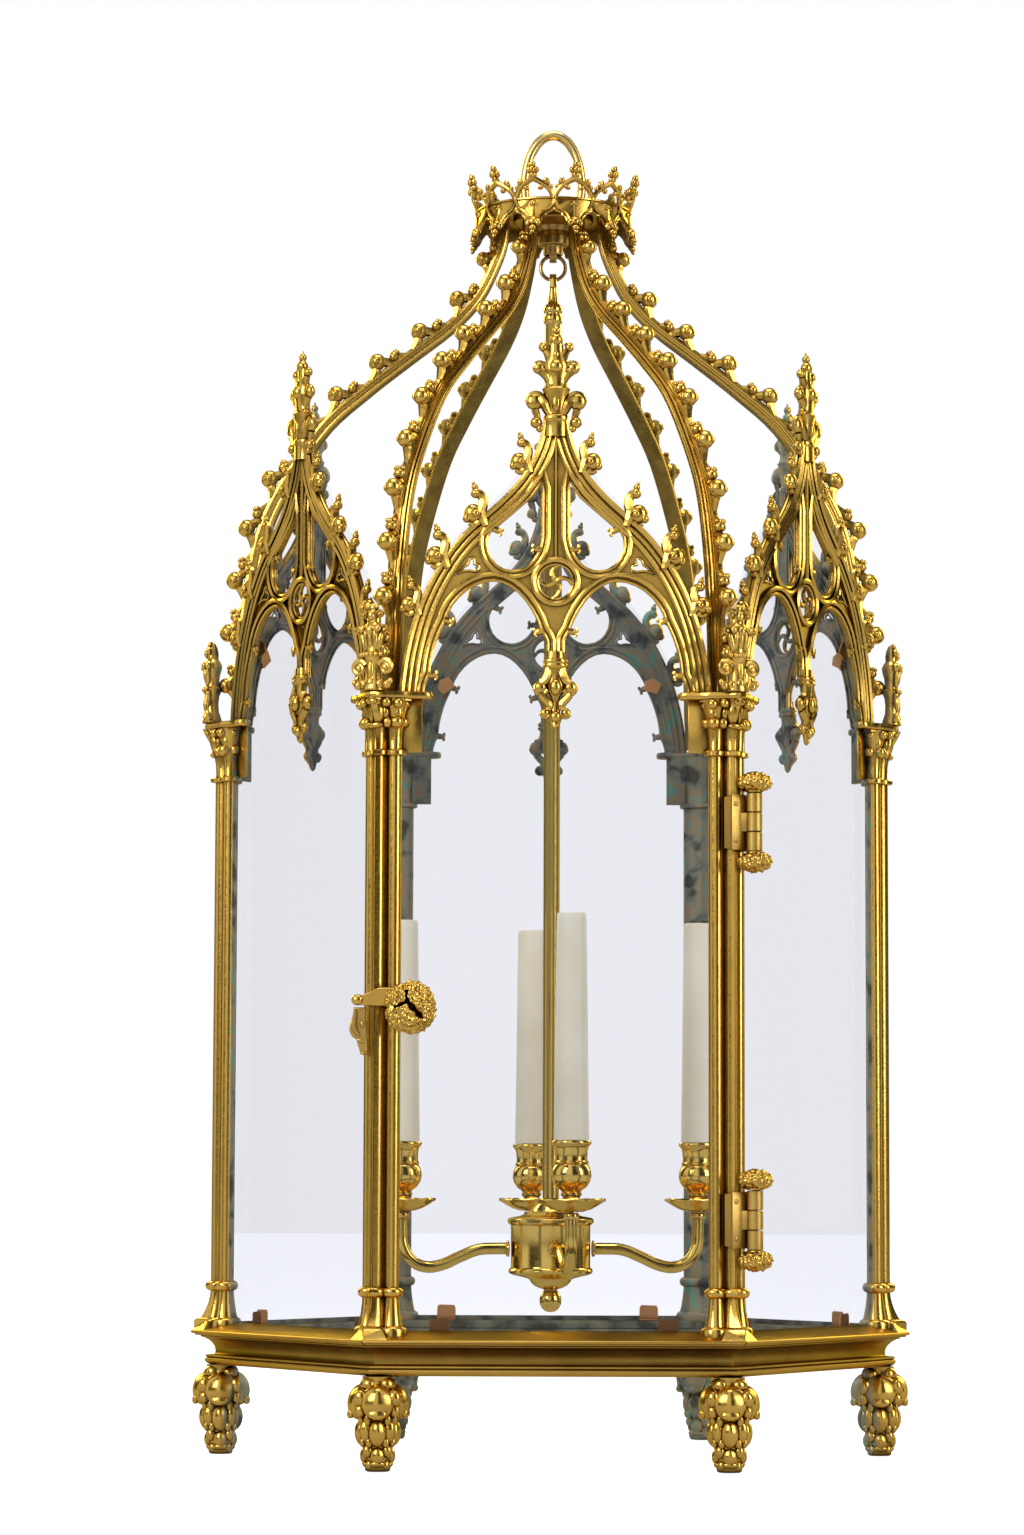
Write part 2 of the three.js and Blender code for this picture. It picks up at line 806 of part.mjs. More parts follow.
function ribSection(curve, step) {
  const share = step / ribSteps;
  const crest = curve.getPointAt(share);
  const along = curve.getTangentAt(share);
  const level = step === 0 || step === ribSteps;
  const [outX, outZ] = level ? [1, 0] : [along.z, -along.x];
  const depth = ribDepthAt(share);
  const section = [
    [0, -ribCrestHalfWidth],
    [0, ribCrestHalfWidth],
    [-0.2 * depth, ribHalfWidth],
    [-depth, ribHalfWidth],
    [-depth, -ribHalfWidth],
    [-0.2 * depth, -ribHalfWidth],
  ];
  return section.map(([deep, across]) => [crest.x + deep * outX, across, crest.z + deep * outZ]);
}

function ribCrocket(curve, share) {
  const crest = curve.getPointAt(share);
  const along = curve.getTangentAt(share);
  const reach = ribCrocketSize * 0.55;
  const ball = new THREE.IcosahedronGeometry(ribCrocketSize, 0).scale(1, 0.78, 1);
  return solidFrom(ball.translate(crest.x + along.z * reach, 0, crest.z - along.x * reach));
}

function ribSolid() {
  const curve = crestCurve();
  const sections = [];
  for (let step = 0; step <= ribSteps; step += 1) {
    sections.push(ribSection(curve, step));
  }
  const parts = [sideLoft(sections)];
  const firstShare = 0.12;
  const lastShare = 0.88;
  for (let i = 0; i < ribCrockets; i += 1) {
    parts.push(ribCrocket(curve, firstShare + (i * (lastShare - firstShare)) / (ribCrockets - 1)));
  }
  return joined(parts);
}

for (const corner of corners) {
  addPiece(`rib_${corner.name}`, ribSolid(), brass, corner.angle * rad);
}

// Crown: a band with a floor, leaf drops below it and leaf finials on small gables above
const crownFloor = ribTop + seatGap;
const crownRim = crownFloor + crownRimRise;
const crownBottom = crownRim - crownBandHeight;

function crownBand() {
  const inner = crownRadius - crownWall;
  const waist = crownRadius - crownWaistDepth;
  return solidFrom(revolved([
    [inner, crownBottom],
    [crownRadius, crownBottom],
    [waist, crownBottom + 3 * crownWaistDepth],
    [waist, crownRim - 3 * crownWaistDepth],
    [crownRadius + 1, crownRim],
    [inner, crownRim],
    [inner, crownFloor + crownFloorThickness],
    [0, crownFloor + crownFloorThickness],
    [0, crownFloor],
    [inner, crownFloor],
    [inner, crownBottom],
  ], 24));
}

function crownDrop() {
  const r = crownDropRadius;
  const h = crownDropHeight;
  const form = [[r * 0.25, h * -0.62], [r * 0.82, h * -0.3], [r * 0.52, h * -0.04], [r, h * 0.38]];
  return leafyCasting(form, 4, 4, 0).translate([crownRadius, 0, crownBottom]);
}

function crownFinial() {
  const r = crownFinialRadius;
  const h = crownFinialHeight;
  const form = [[r * 0.8, h * -0.11], [r, h * 0.33], [r * 0.4, h * 0.52], [r * 0.8, h * 0.74], [r * 0.2, h]];
  const finial = leafyCasting(form, 4, 4, 0).rotate([0, crownFinialTilt, 0]);
  return finial.translate([crownRadius - 0.5 * crownWall, 0, crownRim]);
}

// Gable between two arches of the band, a plate square to the crown's radius
function crownGable() {
  const half = crownRadius * Math.sin(Math.PI / crownPoints) - crownGableThickness;
  const shape = new THREE.Shape();
  shape.moveTo(-half, -crownFloorThickness);
  shape.lineTo(half, -crownFloorThickness);
  shape.lineTo(half, 0);
  shape.quadraticCurveTo(0.3 * half, 0.2 * crownGableHeight, 0, crownGableHeight);
  shape.quadraticCurveTo(-0.3 * half, 0.2 * crownGableHeight, -half, 0);
  const options = { depth: crownGableThickness, bevelEnabled: false, curveSegments: 2 };
  const plate = new THREE.ExtrudeGeometry(shape, options).rotateX(Math.PI / 2).rotateZ(Math.PI / 2);
  const reach = crownRadius - crownWall;
  return solidFrom(plate.translate(reach, 0, crownRim));
}

function crownSolid() {
  const parts = [crownBand()];
  for (let i = 0; i < crownPoints; i += 1) {
    const angle = (i + 0.5) * (360 / crownPoints);
    for (const leaf of [crownDrop(), crownFinial(), crownGable()]) {
      parts.push(leaf.rotate([0, 0, angle]));
    }
  }
  return joined(parts);
}

addPiece('crown', crownSolid(), brass);

// Hub under the crown's floor, with the lug that the ring hangs in
const ringMiddle = ribTop - ringDrop;
const lugEyeHeight = ringMiddle + ringRadius + ringSlack;
const eyeRadius = ringWire / 2 + eyeClearance;
const hubBottom = ringMiddle + ringRadius + ringWire / 2 + ringToHub;

function eyePlate(height, radius, thickness) {
  const disc = new THREE.CylinderGeometry(radius, radius, thickness, 12).rotateZ(Math.PI / 2);
  return solidFrom(disc.translate(0, 0, height));
}

function eyeHole(height) {
  return eyePlate(height, eyeRadius, 4 * hubFlangeRadius);
}

function hubSolid() {
  const flangeTop = ribTop - hubFlangeDrop;
  const flangeBottom = flangeTop - hubFlangeThickness;
  const body = turnedSolid([
    [hubBossRadius, hubBottom],
    [hubBossRadius, flangeBottom - 1],
    [hubFlangeRadius, flangeBottom],
    [hubFlangeRadius, flangeTop],
    [hubFlangeRadius - 3, ribTop - hubPlateThickness - 1],
    [hubPlateRadius, ribTop - hubPlateThickness],
    [hubPlateRadius, ribTop],
  ], 18);
  const lug = eyePlate(lugEyeHeight, eyeRadius + eyeRim + ringToHub, lugThickness);
  return cutBy(body.add(lug), [eyeHole(lugEyeHeight)]);
}

addPiece('crown_hub', hubSolid(), brass);

// Bow of the hanging loop, standing in the crown
function loopSolid() {
  const radius = (loopWidth - loopRodDiameter) / 2;
  const bottom = crownFloor + crownFloorThickness + seatGap;
  const spring = bottom + loopHeight - loopWidth / 2;
  const arcSteps = 8;
  const points = [[-radius, 0, bottom], [-radius, 0, (bottom + spring) / 2]];
  for (let i = 0; i <= arcSteps; i += 1) {
    const angle = Math.PI - (i * Math.PI) / arcSteps;
    points.push([radius * Math.cos(angle), 0, spring + radius * Math.sin(angle)]);
  }
  points.push([radius, 0, (bottom + spring) / 2], [radius, 0, bottom]);
  return rod(points, loopRodDiameter / 2, 6, 16);
}

addPiece('top_loop', loopSolid(), brass);

// Ring between the hub's lug and the stem's eye
const ringForm = new THREE.TorusGeometry(ringRadius, ringWire / 2, 6, 14).rotateX(Math.PI / 2);
addPiece('hanging_ring', solidFrom(ringForm.translate(0, 0, ringMiddle)), darkBrass);

// Stem from the ring down to the light's body
const stemEyeHeight = ringMiddle - ringRadius - ringSlack;
const knopTop = ringMiddle - knopDrop;
const rodRadius = stemRodDiameter / 2;

function stemSolid() {
  const neck = stemNeckDiameter / 2;
  const knop = knopDiameter / 2;
  const body = turnedSolid([
    [rodRadius, bodyTopHeight + seatGap],
    [rodRadius, knopTop - 1.15 * knopHeight],
    [knop, knopTop - knopHeight],
    [knop, knopTop - 0.65 * knopHeight],
    [rodRadius, knopTop - 0.5 * knopHeight],
    [knop, knopTop - 0.35 * knopHeight],
    [knop - 0.5, knopTop],
    [2 * neck, knopTop + 1],
    [neck, knopTop + knopHeight],
    [neck, stemEyeHeight - eyeRadius - 1],
  ], 10);
  const eye = eyePlate(stemEyeHeight, eyeRadius + eyeRim, stemEyeThickness);
  return cutBy(body.add(eye), [eyeHole(stemEyeHeight)]);
}

addPiece('stem', stemSolid(), brass);

// Body of the light: dome, drum, cone and ball
const drumTop = bodyTopHeight - bodyDomeHeight;
const drumBottom = drumTop - bodyDrumHeight;
const coneBottom = drumBottom - bodyConeHeight;

function lightBodySolid() {
  const r = bodyRadius;
  return turnedSolid([
    [1, coneBottom - 2 * bodyBallRadius + 0.2],
    [bodyBallRadius * 0.7, coneBottom - 1.7 * bodyBallRadius],
    [bodyBallRadius, coneBottom - bodyBallRadius],
    [bodyBallRadius * 0.7, coneBottom - 0.3 * bodyBallRadius],
    [bodyBallRadius * 0.55, coneBottom],
    [r * 0.55, coneBottom + 3],
    [r - 1.5, drumBottom - 1],
    [r + 0.8, drumBottom],
    [r, drumBottom + 5],
    [r, drumTop - 5],
    [r + 2.5, drumTop - 3],
    [r + 2.5, drumTop],
    [r - 3, drumTop + 2],
    [r * 0.6, drumTop + bodyDomeHeight * 0.7],
    [rodRadius + 3, bodyTopHeight - 1.5],
    [rodRadius + 2, bodyTopHeight],
  ], 12);
}

addPiece('light_body', lightBodySolid(), paleBrass);

// Arms, drip pans with cups, and candle sleeves
function armSolid() {
  const low = armRootHeight - armDip;
  return rod([
    [bodyRadius + seatGap + 0.1, 0, armRootHeight],
    [bodyRadius + 0.4 * armDiameter, 0, armRootHeight],
    [bodyRadius + 3 * armDiameter, 0, armRootHeight - 0.2 * armDip],
    [armReach - 3.3 * armDiameter, 0, low + 0.1 * armDip],
    [armReach - 1.9 * armDiameter, 0, low],
    [armReach - 0.55 * armDiameter, 0, low + 0.45 * armDip],
    [armReach, 0, low + 1.4 * armDip],
    [armReach, 0, panHeight - seatGap],
  ], armDiameter / 2, 6, 11);
}

const cupTop = panHeight + cupHeight;
const sleeveBottom = cupTop + seatGap;
const lampholderTop = sleeveBottom + sleeveLength - socketSetback;

function holderSolid() {
  const pan = panDiameter / 2;
  const cup = cupDiameter / 2;
  const post = lampholderDiameter / 2;
  const socket = socketDiameter / 2;
  return solidFrom(revolved([
    [0, panHeight],
    [0.3 * pan, panHeight],
    [0.62 * pan, panHeight + 0.36 * panDepth],
    [pan, panHeight + panDepth],
    [0.6 * pan, panHeight + 0.36 * panDepth + panMetal],
    [cupFootRadius, panHeight + 2 * panMetal],
    [cupFootRadius, panHeight + 0.23 * cupHeight],
    [cup - 1, panHeight + 0.36 * cupHeight],
    [cup, panHeight + 0.5 * cupHeight],
    [0.78 * cup, panHeight + 0.73 * cupHeight],
    [cup, panHeight + 0.95 * cupHeight],
    [cup, cupTop],
    [post, cupTop],
    [post, lampholderTop],
    [socket, lampholderTop],
    [socket, lampholderTop - socketDepth],
    [0, lampholderTop - socketDepth],
  ], 8));
}

function sleeveSolid() {
  const bottom = sleeveDiameter / 2;
  const top = sleeveTopDiameter / 2;
  const end = sleeveBottom + sleeveLength;
  return solidFrom(revolved([
    [bottom - sleeveWall, sleeveBottom],
    [bottom, sleeveBottom],
    [top, end],
    [top - sleeveWall, end],
    [bottom - sleeveWall, sleeveBottom],
  ], 10));
}

for (let i = 0; i < armCount; i += 1) {
  const angle = (armTurn - 90 + (i * 360) / armCount) * rad;
  const place = [armReach * Math.cos(angle), armReach * Math.sin(angle), 0];
  addPiece(`arm_${i + 1}`, armSolid(), paleBrass, angle);
  addPiece(`candle_holder_${i + 1}`, holderSolid(), paleBrass, angle, place);
  addPiece(`candle_sleeve_${i + 1}`, sleeveSolid(), ivory, angle, place);
}

// Door hinges, on the front right column, in that column's plan with x outward and y away from the door
const hingeCorner = corners.find((corner) => corner.name === 'front_right');
const barrelRadius = barrelDiameter / 2;
const knuckle = barrelLength / 3;

function barrelPiece(bottom, height, radius) {
  const form = new THREE.CylinderGeometry(radius, radius, height, 10).rotateX(Math.PI / 2);
  return solidFrom(form.translate(hingeOut, hingeAcross, bottom + height / 2));
}

function leafPlate(points, bottom, height) {
  const shape = new THREE.Shape(points.map(([x, y]) => new THREE.Vector2(x, y)));
  const geometry = new THREE.ExtrudeGeometry(shape, { depth: height, bevelEnabled: false });
  return solidFrom(geometry.translate(0, 0, bottom));
}

function pinBore(bottom) {
  return barrelPiece(bottom - knuckle, barrelLength + 2 * knuckle, pinDiameter / 2 + pinFit);
}

// The door's leaf lies on the keel of the stile, and a curved neck carries the middle knuckle
function doorLeafSolid(bottom) {
  const back = columnReach + seatGap;
  const front = back + leafThickness;
  const side = -0.6 * columnHalfWidth;
  const seam = 0.04 * columnHalfWidth;
  const neckPoints = [
    [back, side],
    [front, side],
    [front + 0.2 * leafThickness, 2 * seam],
    [hingeOut - 0.4 * barrelRadius, hingeAcross - 0.75 * barrelRadius],
    [hingeOut - 0.7 * barrelRadius, hingeAcross - 0.3 * barrelRadius],
    [back + 0.15 * leafThickness, 0.18 * columnHalfWidth],
  ];
  const platePoints = [[back, side], [front, side], [front, seam], [back, seam]];
  const neck = leafPlate(neckPoints, bottom + knuckle + seatGap, knuckle - 2 * seatGap);
  const plate = leafPlate(platePoints, bottom + leafMargin, barrelLength - 2 * leafMargin);
  const barrel = barrelPiece(bottom + knuckle + seatGap, knuckle - 2 * seatGap, barrelRadius);
  return cutBy(joined([neck, plate, barrel]), [pinBore(bottom)]);
}

// The frame's leaf stands on the outer shaft, and two webs carry the end knuckles
function frameLeafSolid(bottom) {
  const shaftFront = columnReach - shaftRadius + seatGap;
  const inside = columnHalfWidth - shaftRadius - 0.5 * leafThickness;
  const outside = inside + 1.5 * leafThickness;
  const plateFront = hingeOut - barrelRadius - seatGap;
  const webFront = hingeOut - 0.5 * barrelRadius;
  const platePoints = [
    [shaftFront, inside],
    [plateFront, inside],
    [plateFront, outside],
    [shaftFront, outside],
  ];
  const webPoints = [
    [plateFront - leafMargin, inside],
    [webFront, inside],
    [webFront, outside],
    [plateFront - leafMargin, outside],
  ];
  const parts = [leafPlate(platePoints, bottom + leafMargin, barrelLength - 2 * leafMargin)];
  const ends = [bottom, bottom + 2 * knuckle + seatGap];
  for (const low of ends) {
    parts.push(barrelPiece(low, knuckle - seatGap, barrelRadius));
    parts.push(leafPlate(webPoints, low + leafMargin, knuckle - seatGap - 2 * leafMargin));
  }
  return cutBy(joined(parts), [pinBore(bottom)]);
}

function hingeKnob(height, flip) {
  const r = knobHingeDiameter / 2;
  const h = knobHingeHeight;
  const profile = [[r * 0.45, 0], [r * 0.9, h * 0.2], [r, h * 0.5], [r * 0.8, h * 0.8], [r * 0.35, h]];
  const form = leafyCasting(profile, 8, 4, 0.06);
  return (flip ? form.rotate([180, 0, 0]) : form).translate([hingeOut, hingeAcross, height]);
}

function hingePinSolid(bottom) {
  const end = seatGap + leafMargin;
  const pin = barrelPiece(bottom - end, barrelLength + 2 * end, pinDiameter / 2);
  const top = bottom + barrelLength + seatGap;
  return joined([pin, hingeKnob(top, false), hingeKnob(bottom - seatGap, true)]);
}

for (const [level, middle] of Object.entries(hingeMiddles)) {
  const bottom = middle - barrelLength / 2;
  const turn = hingeCorner.angle * rad;
  const place = cornerPlace(hingeCorner);
  addPiece(`hinge_door_leaf_${level}`, doorLeafSolid(bottom), paleBrass, turn, place);
  addPiece(`hinge_frame_leaf_${level}`, frameLeafSolid(bottom), paleBrass, turn, place);
  addPiece(`hinge_pin_${level}`, hingePinSolid(bottom), brass, turn, place);
}

// Latch on the left stile: a leafy knob whose tongue drops into an open catch
function latchSolid() {
  const r = latchKnobDiameter / 2;
  const d = latchKnobDepth;
  const profile = [[r * 0.5, 0], [r * 0.95, d * 0.2], [r, d * 0.48], [r * 0.75, d * 0.8], [r * 0.3, d]];
  const knob = leafyCasting(profile, 14, 7, 0.05).rotate([90, 0, 0]);
  const tongueFront = latchStandOff + tongueThickness;
  const tongueShape = new THREE.Shape([
    new THREE.Vector2(tongueRoot, -tongueWidth / 2),
    new THREE.Vector2(tongueRoot, tongueWidth / 2),
    new THREE.Vector2(-tongueLength, tongueWidth * 0.4),
    new THREE.Vector2(-tongueLength, -tongueWidth * 0.4),
  ]);
  return joined([
    standingPlate(tongueShape, latchStandOff, tongueFront, 1),
    knob.translate([0, knobSink - tongueFront, 0]),
    latchBar(latchSpindle / 2, -traceryBack + 1, latchStandOff + 1, 8),
  ]);
}

addPiece('latch', latchSolid(), brass, 0, [latchX, -apothem, latchHeight]);

// The catch is a tapering bracket beside the column, cut to follow it
function catchSolid() {
  const left = latchX - tongueLength - 0.1 * catchWidth;
  const right = left + 0.8 * catchWidth;
  const top = latchHeight - tongueWidth / 2 - seatGap;
  const waist = latchHeight - catchDrop * 0.6;
  const shape = new THREE.Shape([
    new THREE.Vector2(left, top),
    new THREE.Vector2(left - 0.15 * catchWidth, waist),
    new THREE.Vector2(left + 0.35 * catchWidth, latchHeight - catchDrop),
    new THREE.Vector2(right, waist),
    new THREE.Vector2(right, top),
  ]);
  const plate = standingPlate(shape, -traceryBack, latchStandOff + tongueThickness, 1);
  const corner = corners.find((other) => other.name === 'front_left');
  const column = columnSolid(seatGap).rotate([0, 0, corner.angle]).translate(cornerPlace(corner));
  return cutBy(plate.translate([0, -apothem, 0]), [column]);
}

addPiece('latch_catch', catchSolid(), brass);

// The origin lies under the middle of the whole outline, which the latch's knob makes uneven
const outline = new THREE.Box3().setFromObject(lantern, true);
lantern.position.y = -(outline.min.y + outline.max.y) / 2;

export default lantern;
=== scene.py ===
import json
import math

import bpy
from mathutils import Matrix, Vector
from mathutils.geometry import interpolate_bezier


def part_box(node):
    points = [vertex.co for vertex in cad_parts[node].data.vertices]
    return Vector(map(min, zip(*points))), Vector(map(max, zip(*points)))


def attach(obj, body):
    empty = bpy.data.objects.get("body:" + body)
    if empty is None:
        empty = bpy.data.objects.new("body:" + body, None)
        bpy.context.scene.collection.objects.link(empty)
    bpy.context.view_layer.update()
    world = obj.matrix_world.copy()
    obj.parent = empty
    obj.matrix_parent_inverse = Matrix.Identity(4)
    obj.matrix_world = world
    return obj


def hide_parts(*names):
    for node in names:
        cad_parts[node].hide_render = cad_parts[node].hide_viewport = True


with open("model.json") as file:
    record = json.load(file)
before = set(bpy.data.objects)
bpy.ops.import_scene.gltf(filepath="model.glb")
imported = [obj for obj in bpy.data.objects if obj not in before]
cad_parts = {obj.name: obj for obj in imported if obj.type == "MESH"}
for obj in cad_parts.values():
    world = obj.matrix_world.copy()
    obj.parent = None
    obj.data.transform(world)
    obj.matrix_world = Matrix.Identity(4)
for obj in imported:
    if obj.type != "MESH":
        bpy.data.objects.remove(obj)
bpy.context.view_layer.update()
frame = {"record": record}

# Base: a cast brass ring of six moulded lengths, mitred at the corners and open in the middle.
# A flat ledge lies on a hollow and a fillet. The front length of the ledge is the door's bottom
# rail, so it is cut loose at both mitres and swings with the door.
MM = 0.001
SIDES = 6
loop_low, loop_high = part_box("top_loop")
AXIS = Vector(((loop_low.x + loop_high.x) / 2, (loop_low.y + loop_high.y) / 2, 0))
foot_low, foot_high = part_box("foot_right")
COLUMN_CIRCLE = (foot_low.x + foot_high.x) / 2 - AXIS.x
APOTHEM = COLUMN_CIRCLE * math.cos(math.pi / SIDES)
BASE_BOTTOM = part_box("base_frame")[0].z
LEDGE_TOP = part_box("base_frame")[1].z
CORNERS = {"front_right": -60, "right": 0, "back_right": 60, "back_left": 120, "left": 180, "front_left": 240}
PANELS = ["front", "right_front", "right_back", "back", "left_back", "left_front"]


def spun(degrees, axis="Z"):
    return Matrix.Rotation(math.radians(degrees), 4, axis)


def moved(x, y, z):
    """A shift, in millimetres."""
    return Matrix.Translation((x * MM, y * MM, z * MM))


def corner_matrix(name):
    """From a column's own plan, with x outward from the lantern, to its place."""
    return Matrix.Translation(AXIS) @ spun(CORNERS[name]) @ Matrix.Translation((COLUMN_CIRCLE, 0, 0))


def panel_matrix(name):
    """From the front panel's own frame, with the panel's middle at the origin, to a panel."""
    return Matrix.Translation(AXIS) @ spun(60 * PANELS.index(name)) @ Matrix.Translation((0, -APOTHEM, 0))


def pick(piece):
    """Selects one piece alone and makes it the active one."""
    if bpy.context.object and bpy.context.object.mode != "OBJECT":
        bpy.ops.object.mode_set(mode="OBJECT")
    bpy.ops.object.select_all(action="DESELECT")
    piece.select_set(True)
    bpy.context.view_layer.objects.active = piece
    return piece


def turned(profile, sides, closed=False, turn=0):
    """A ring of points, extruded through each radius and height of the profile in millimetres."""
    radius, height = profile[0]
    bpy.ops.object.select_all(action="DESELECT")
    bpy.ops.mesh.primitive_circle_add(vertices=sides, radius=radius * MM)
    piece = pick(bpy.context.object)
    piece.data.transform(moved(0, 0, height) @ spun(turn))
    bpy.ops.object.mode_set(mode="EDIT")
    bpy.ops.mesh.select_all(action="SELECT")
    for new_radius, new_height in profile[1:] + (profile[:1] if closed else []):
        rise = {"value": (0, 0, (new_height - height) * MM)}
        bpy.ops.mesh.extrude_region_move(TRANSFORM_OT_translate=rise)
        share = new_radius / radius
        bpy.ops.transform.resize(value=(share, share, 1), center_override=(0, 0, 0))
        radius, height = new_radius, new_height
    bpy.ops.mesh.select_all(action="SELECT")
    if closed:
        bpy.ops.mesh.remove_doubles(threshold=0.01 * MM)
    else:
        bpy.ops.mesh.select_all(action="DESELECT")
        bpy.ops.mesh.select_non_manifold(extend=False)
        bpy.ops.mesh.fill_holes(sides=0)
        bpy.ops.mesh.select_all(action="SELECT")
    bpy.ops.mesh.normals_make_consistent(inside=False)
    bpy.ops.object.mode_set(mode="OBJECT")
    return piece


def keep_sector(piece, keep):
    """Deletes the faces whose middle the test turns down, and closes the two ends."""
    pick(piece)
    bpy.ops.object.mode_set(mode="EDIT")
    bpy.ops.mesh.select_mode(type="FACE")
    bpy.ops.object.mode_set(mode="OBJECT")
    for polygon in piece.data.polygons:
        polygon.select = not keep(polygon.center)
    bpy.ops.object.mode_set(mode="EDIT")
    bpy.ops.mesh.delete(type="FACE")
    bpy.ops.mesh.select_mode(type="VERT")
    bpy.ops.mesh.select_all(action="DESELECT")
    bpy.ops.mesh.select_non_manifold(extend=False)
    bpy.ops.mesh.fill_holes(sides=0)
    bpy.ops.object.mode_set(mode="OBJECT")
    return piece


def bevelled(piece, width):
    """Rounds the sharp edges by a width in millimetres."""
    pick(piece)
    bevel = piece.modifiers.new("edges", "BEVEL")
    bevel.width = width * MM
    bevel.segments = 2
    bevel.limit_method = "ANGLE"
    bevel.angle_limit = math.radians(30)
    bpy.ops.object.modifier_apply(modifier="edges")
    return piece


def copied(piece, matrix):
    """A copy of a piece, with its own mesh, moved by the matrix."""
    other = piece.copy()
    other.hide_render = False
    other.data = piece.data.copy()
    other.data.transform(matrix)
    if matrix.determinant() < 0:
        other.data.flip_normals()
    bpy.context.scene.collection.objects.link(other)
    return other


def joined(pieces):
    """One object out of several."""
    pick(pieces[0])
    for piece in pieces:
        piece.select_set(True)
    bpy.ops.object.join()
    return bpy.context.object


def removed(*pieces):
    for piece in pieces:
        bpy.data.objects.remove(piece)


def dressed(piece, name, material, *nodes, body="lantern_frame", slot="gilt_brass", smooth=35):
    """Names a finished piece, gives it its finish, and hangs it on its body in place of its nodes."""
    pick(piece)
    bpy.ops.object.transform_apply(location=True, rotation=True, scale=True)
    bpy.ops.object.shade_smooth_by_angle(angle=math.radians(smooth))
    piece.name = piece.data.name = name
    piece.data.materials.clear()
    piece.data.materials.append(material)
    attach(piece, body)
    if nodes:
        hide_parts(*nodes)


def feed(node, values):
    """Gives a node's sockets constant values, or links from the outputs of other nodes."""
    for key, value in values.items():
        socket = node.inputs[key]
        if isinstance(value, bpy.types.NodeSocket):
            node.id_data.links.new(value, socket)
        else:
            socket.default_value = (*value, 1) if socket.type == "RGBA" else value


def add(tree, kind, values, output=0, **settings):
    """One output of a new node that has these settings, values and links."""
    node = tree.nodes.new(f"ShaderNode{kind}")
    for key, value in settings.items():
        setattr(node, key, value)
    feed(node, values)
    return node.outputs[output]


def reckoned(tree, operation, *values, clamp=False):
    """The outcome of a sum on values or links."""
    return add(tree, "Math", dict(enumerate(values)), operation=operation, use_clamp=clamp)


def mixed(tree, share, first, second):
    return add(tree, "Mix", {0: share, 6: first, 7: second}, 2, data_type="RGBA")


def noise(tree, place, scale, detail=2):
    return add(tree, "TexNoise", {"Scale": scale, "Detail": detail, "Vector": place})


def toned(tree, share, stops):
    """A colour for each share, blended between stops that have a place and a colour."""
    colour = add(tree, "ValToRGB", {"Fac": share}, "Color")
    elements = colour.node.color_ramp.elements
    for _ in stops[2:]:
        elements.new(0.5)
    for element, (place, tone) in zip(elements, stops):
        element.position = place
        element.color = (*tone, 1)
    return colour


def new_material(name):
    """A material, its node tree and its shader."""
    material = bpy.data.materials.new(name)
    material.use_nodes = True
    return material, material.node_tree, material.node_tree.nodes["Principled BSDF"]


# hollow is the colour of painted shade, mixed in where ambient occlusion within reach millimetres finds a crease or
# recess
def gilt_brass(name, bright, hollow, roughness=0.2, reach=9, inner=(), inner_share=0.95, grain=0.25):
    """Polished cast brass, with painted shade: ambient occlusion makes it darker and redder in its hollows. It has a
    faint casting grain.
    The faces turned to the lantern's axis carry the inner tones, where they are given."""
    material, tree, shader = new_material(name)
    place = add(tree, "TexCoord", {}, "Object")
    cloud, fine = noise(tree, place, 38, 5), noise(tree, place, 420, 4)
    # painted shade: ambient occlusion pulls the colour towards the hollow colour in creases, recesses and gaps
    # between parts
    shade_ao = add(tree, "AmbientOcclusion", {"Distance": reach * MM}, "AO", samples=6)
    unshaded_share = add(tree, "MapRange", {"From Min": 0.34, "From Max": 0.92, "Value": shade_ao})
    spotted = reckoned(tree, "MULTIPLY_ADD", cloud, 0.5, -0.25)
    colour = mixed(tree, reckoned(tree, "ADD", unshaded_share, spotted, clamp=True), hollow, bright)
    worn = reckoned(tree, "MULTIPLY", fine, 0.3)
    colour = mixed(tree, worn, colour, tuple(0.72 * c for c in bright))
    rough, metal = reckoned(tree, "MULTIPLY_ADD", fine, 0.22, roughness - 0.09), 1

    if inner:
        out = add(tree, "VectorMath", {0: place, 1: AXIS}, operation="SUBTRACT")
        level = add(tree, "VectorMath", {0: out, 1: (1, 1, 0)}, operation="MULTIPLY")
        unit = add(tree, "VectorMath", {0: level}, operation="NORMALIZE")
        facing = add(tree, "VectorMath", {0: unit, 1: place.node.outputs["Normal"]}, "Value", operation="DOT_PRODUCT")
        inward = add(tree, "MapRange", {"From Min": -0.25, "From Max": -0.6, "To Max": inner_share, "Value": facing})
        spread = add(tree, "MapRange", {"From Min": 0.37, "From Max": 0.63, "Value": noise(tree, place, 55, 6)})
        patches = toned(tree, spread, [(i / (len(inner) - 1), tone) for i, tone in enumerate(inner)])
        colour = mixed(tree, inward, colour, patches)
        metal = reckoned(tree, "MULTIPLY_ADD", inward, -0.75, 1.0)
        rough = reckoned(tree, "ADD", rough, reckoned(tree, "MULTIPLY", inward, 0.32))

    bump = add(tree, "Bump", {"Strength": grain, "Distance": 0.25 * MM, "Height": fine})
    feed(shader, {"Base Color": colour, "Roughness": rough, "Metallic": metal, "Normal": bump,
                  "Specular Tint": (0.84, 0.66, 0.34)})
    return material


GOLD = (0.79, 0.49, 0.10)
# near-black painted shade, put by ambient occlusion into the hollows of the frame and the tracery
GOLD_PAINTED_SHADE = (0.085, 0.036, 0.004)
VERDIGRIS = (
    (0.045, 0.06, 0.06), (0.16, 0.19, 0.165), (0.25, 0.27, 0.20), (0.33, 0.23, 0.14), (0.16, 0.33, 0.25),
)
frame_brass = gilt_brass("frame_brass", GOLD, GOLD_PAINTED_SHADE, reach=7, inner=VERDIGRIS)
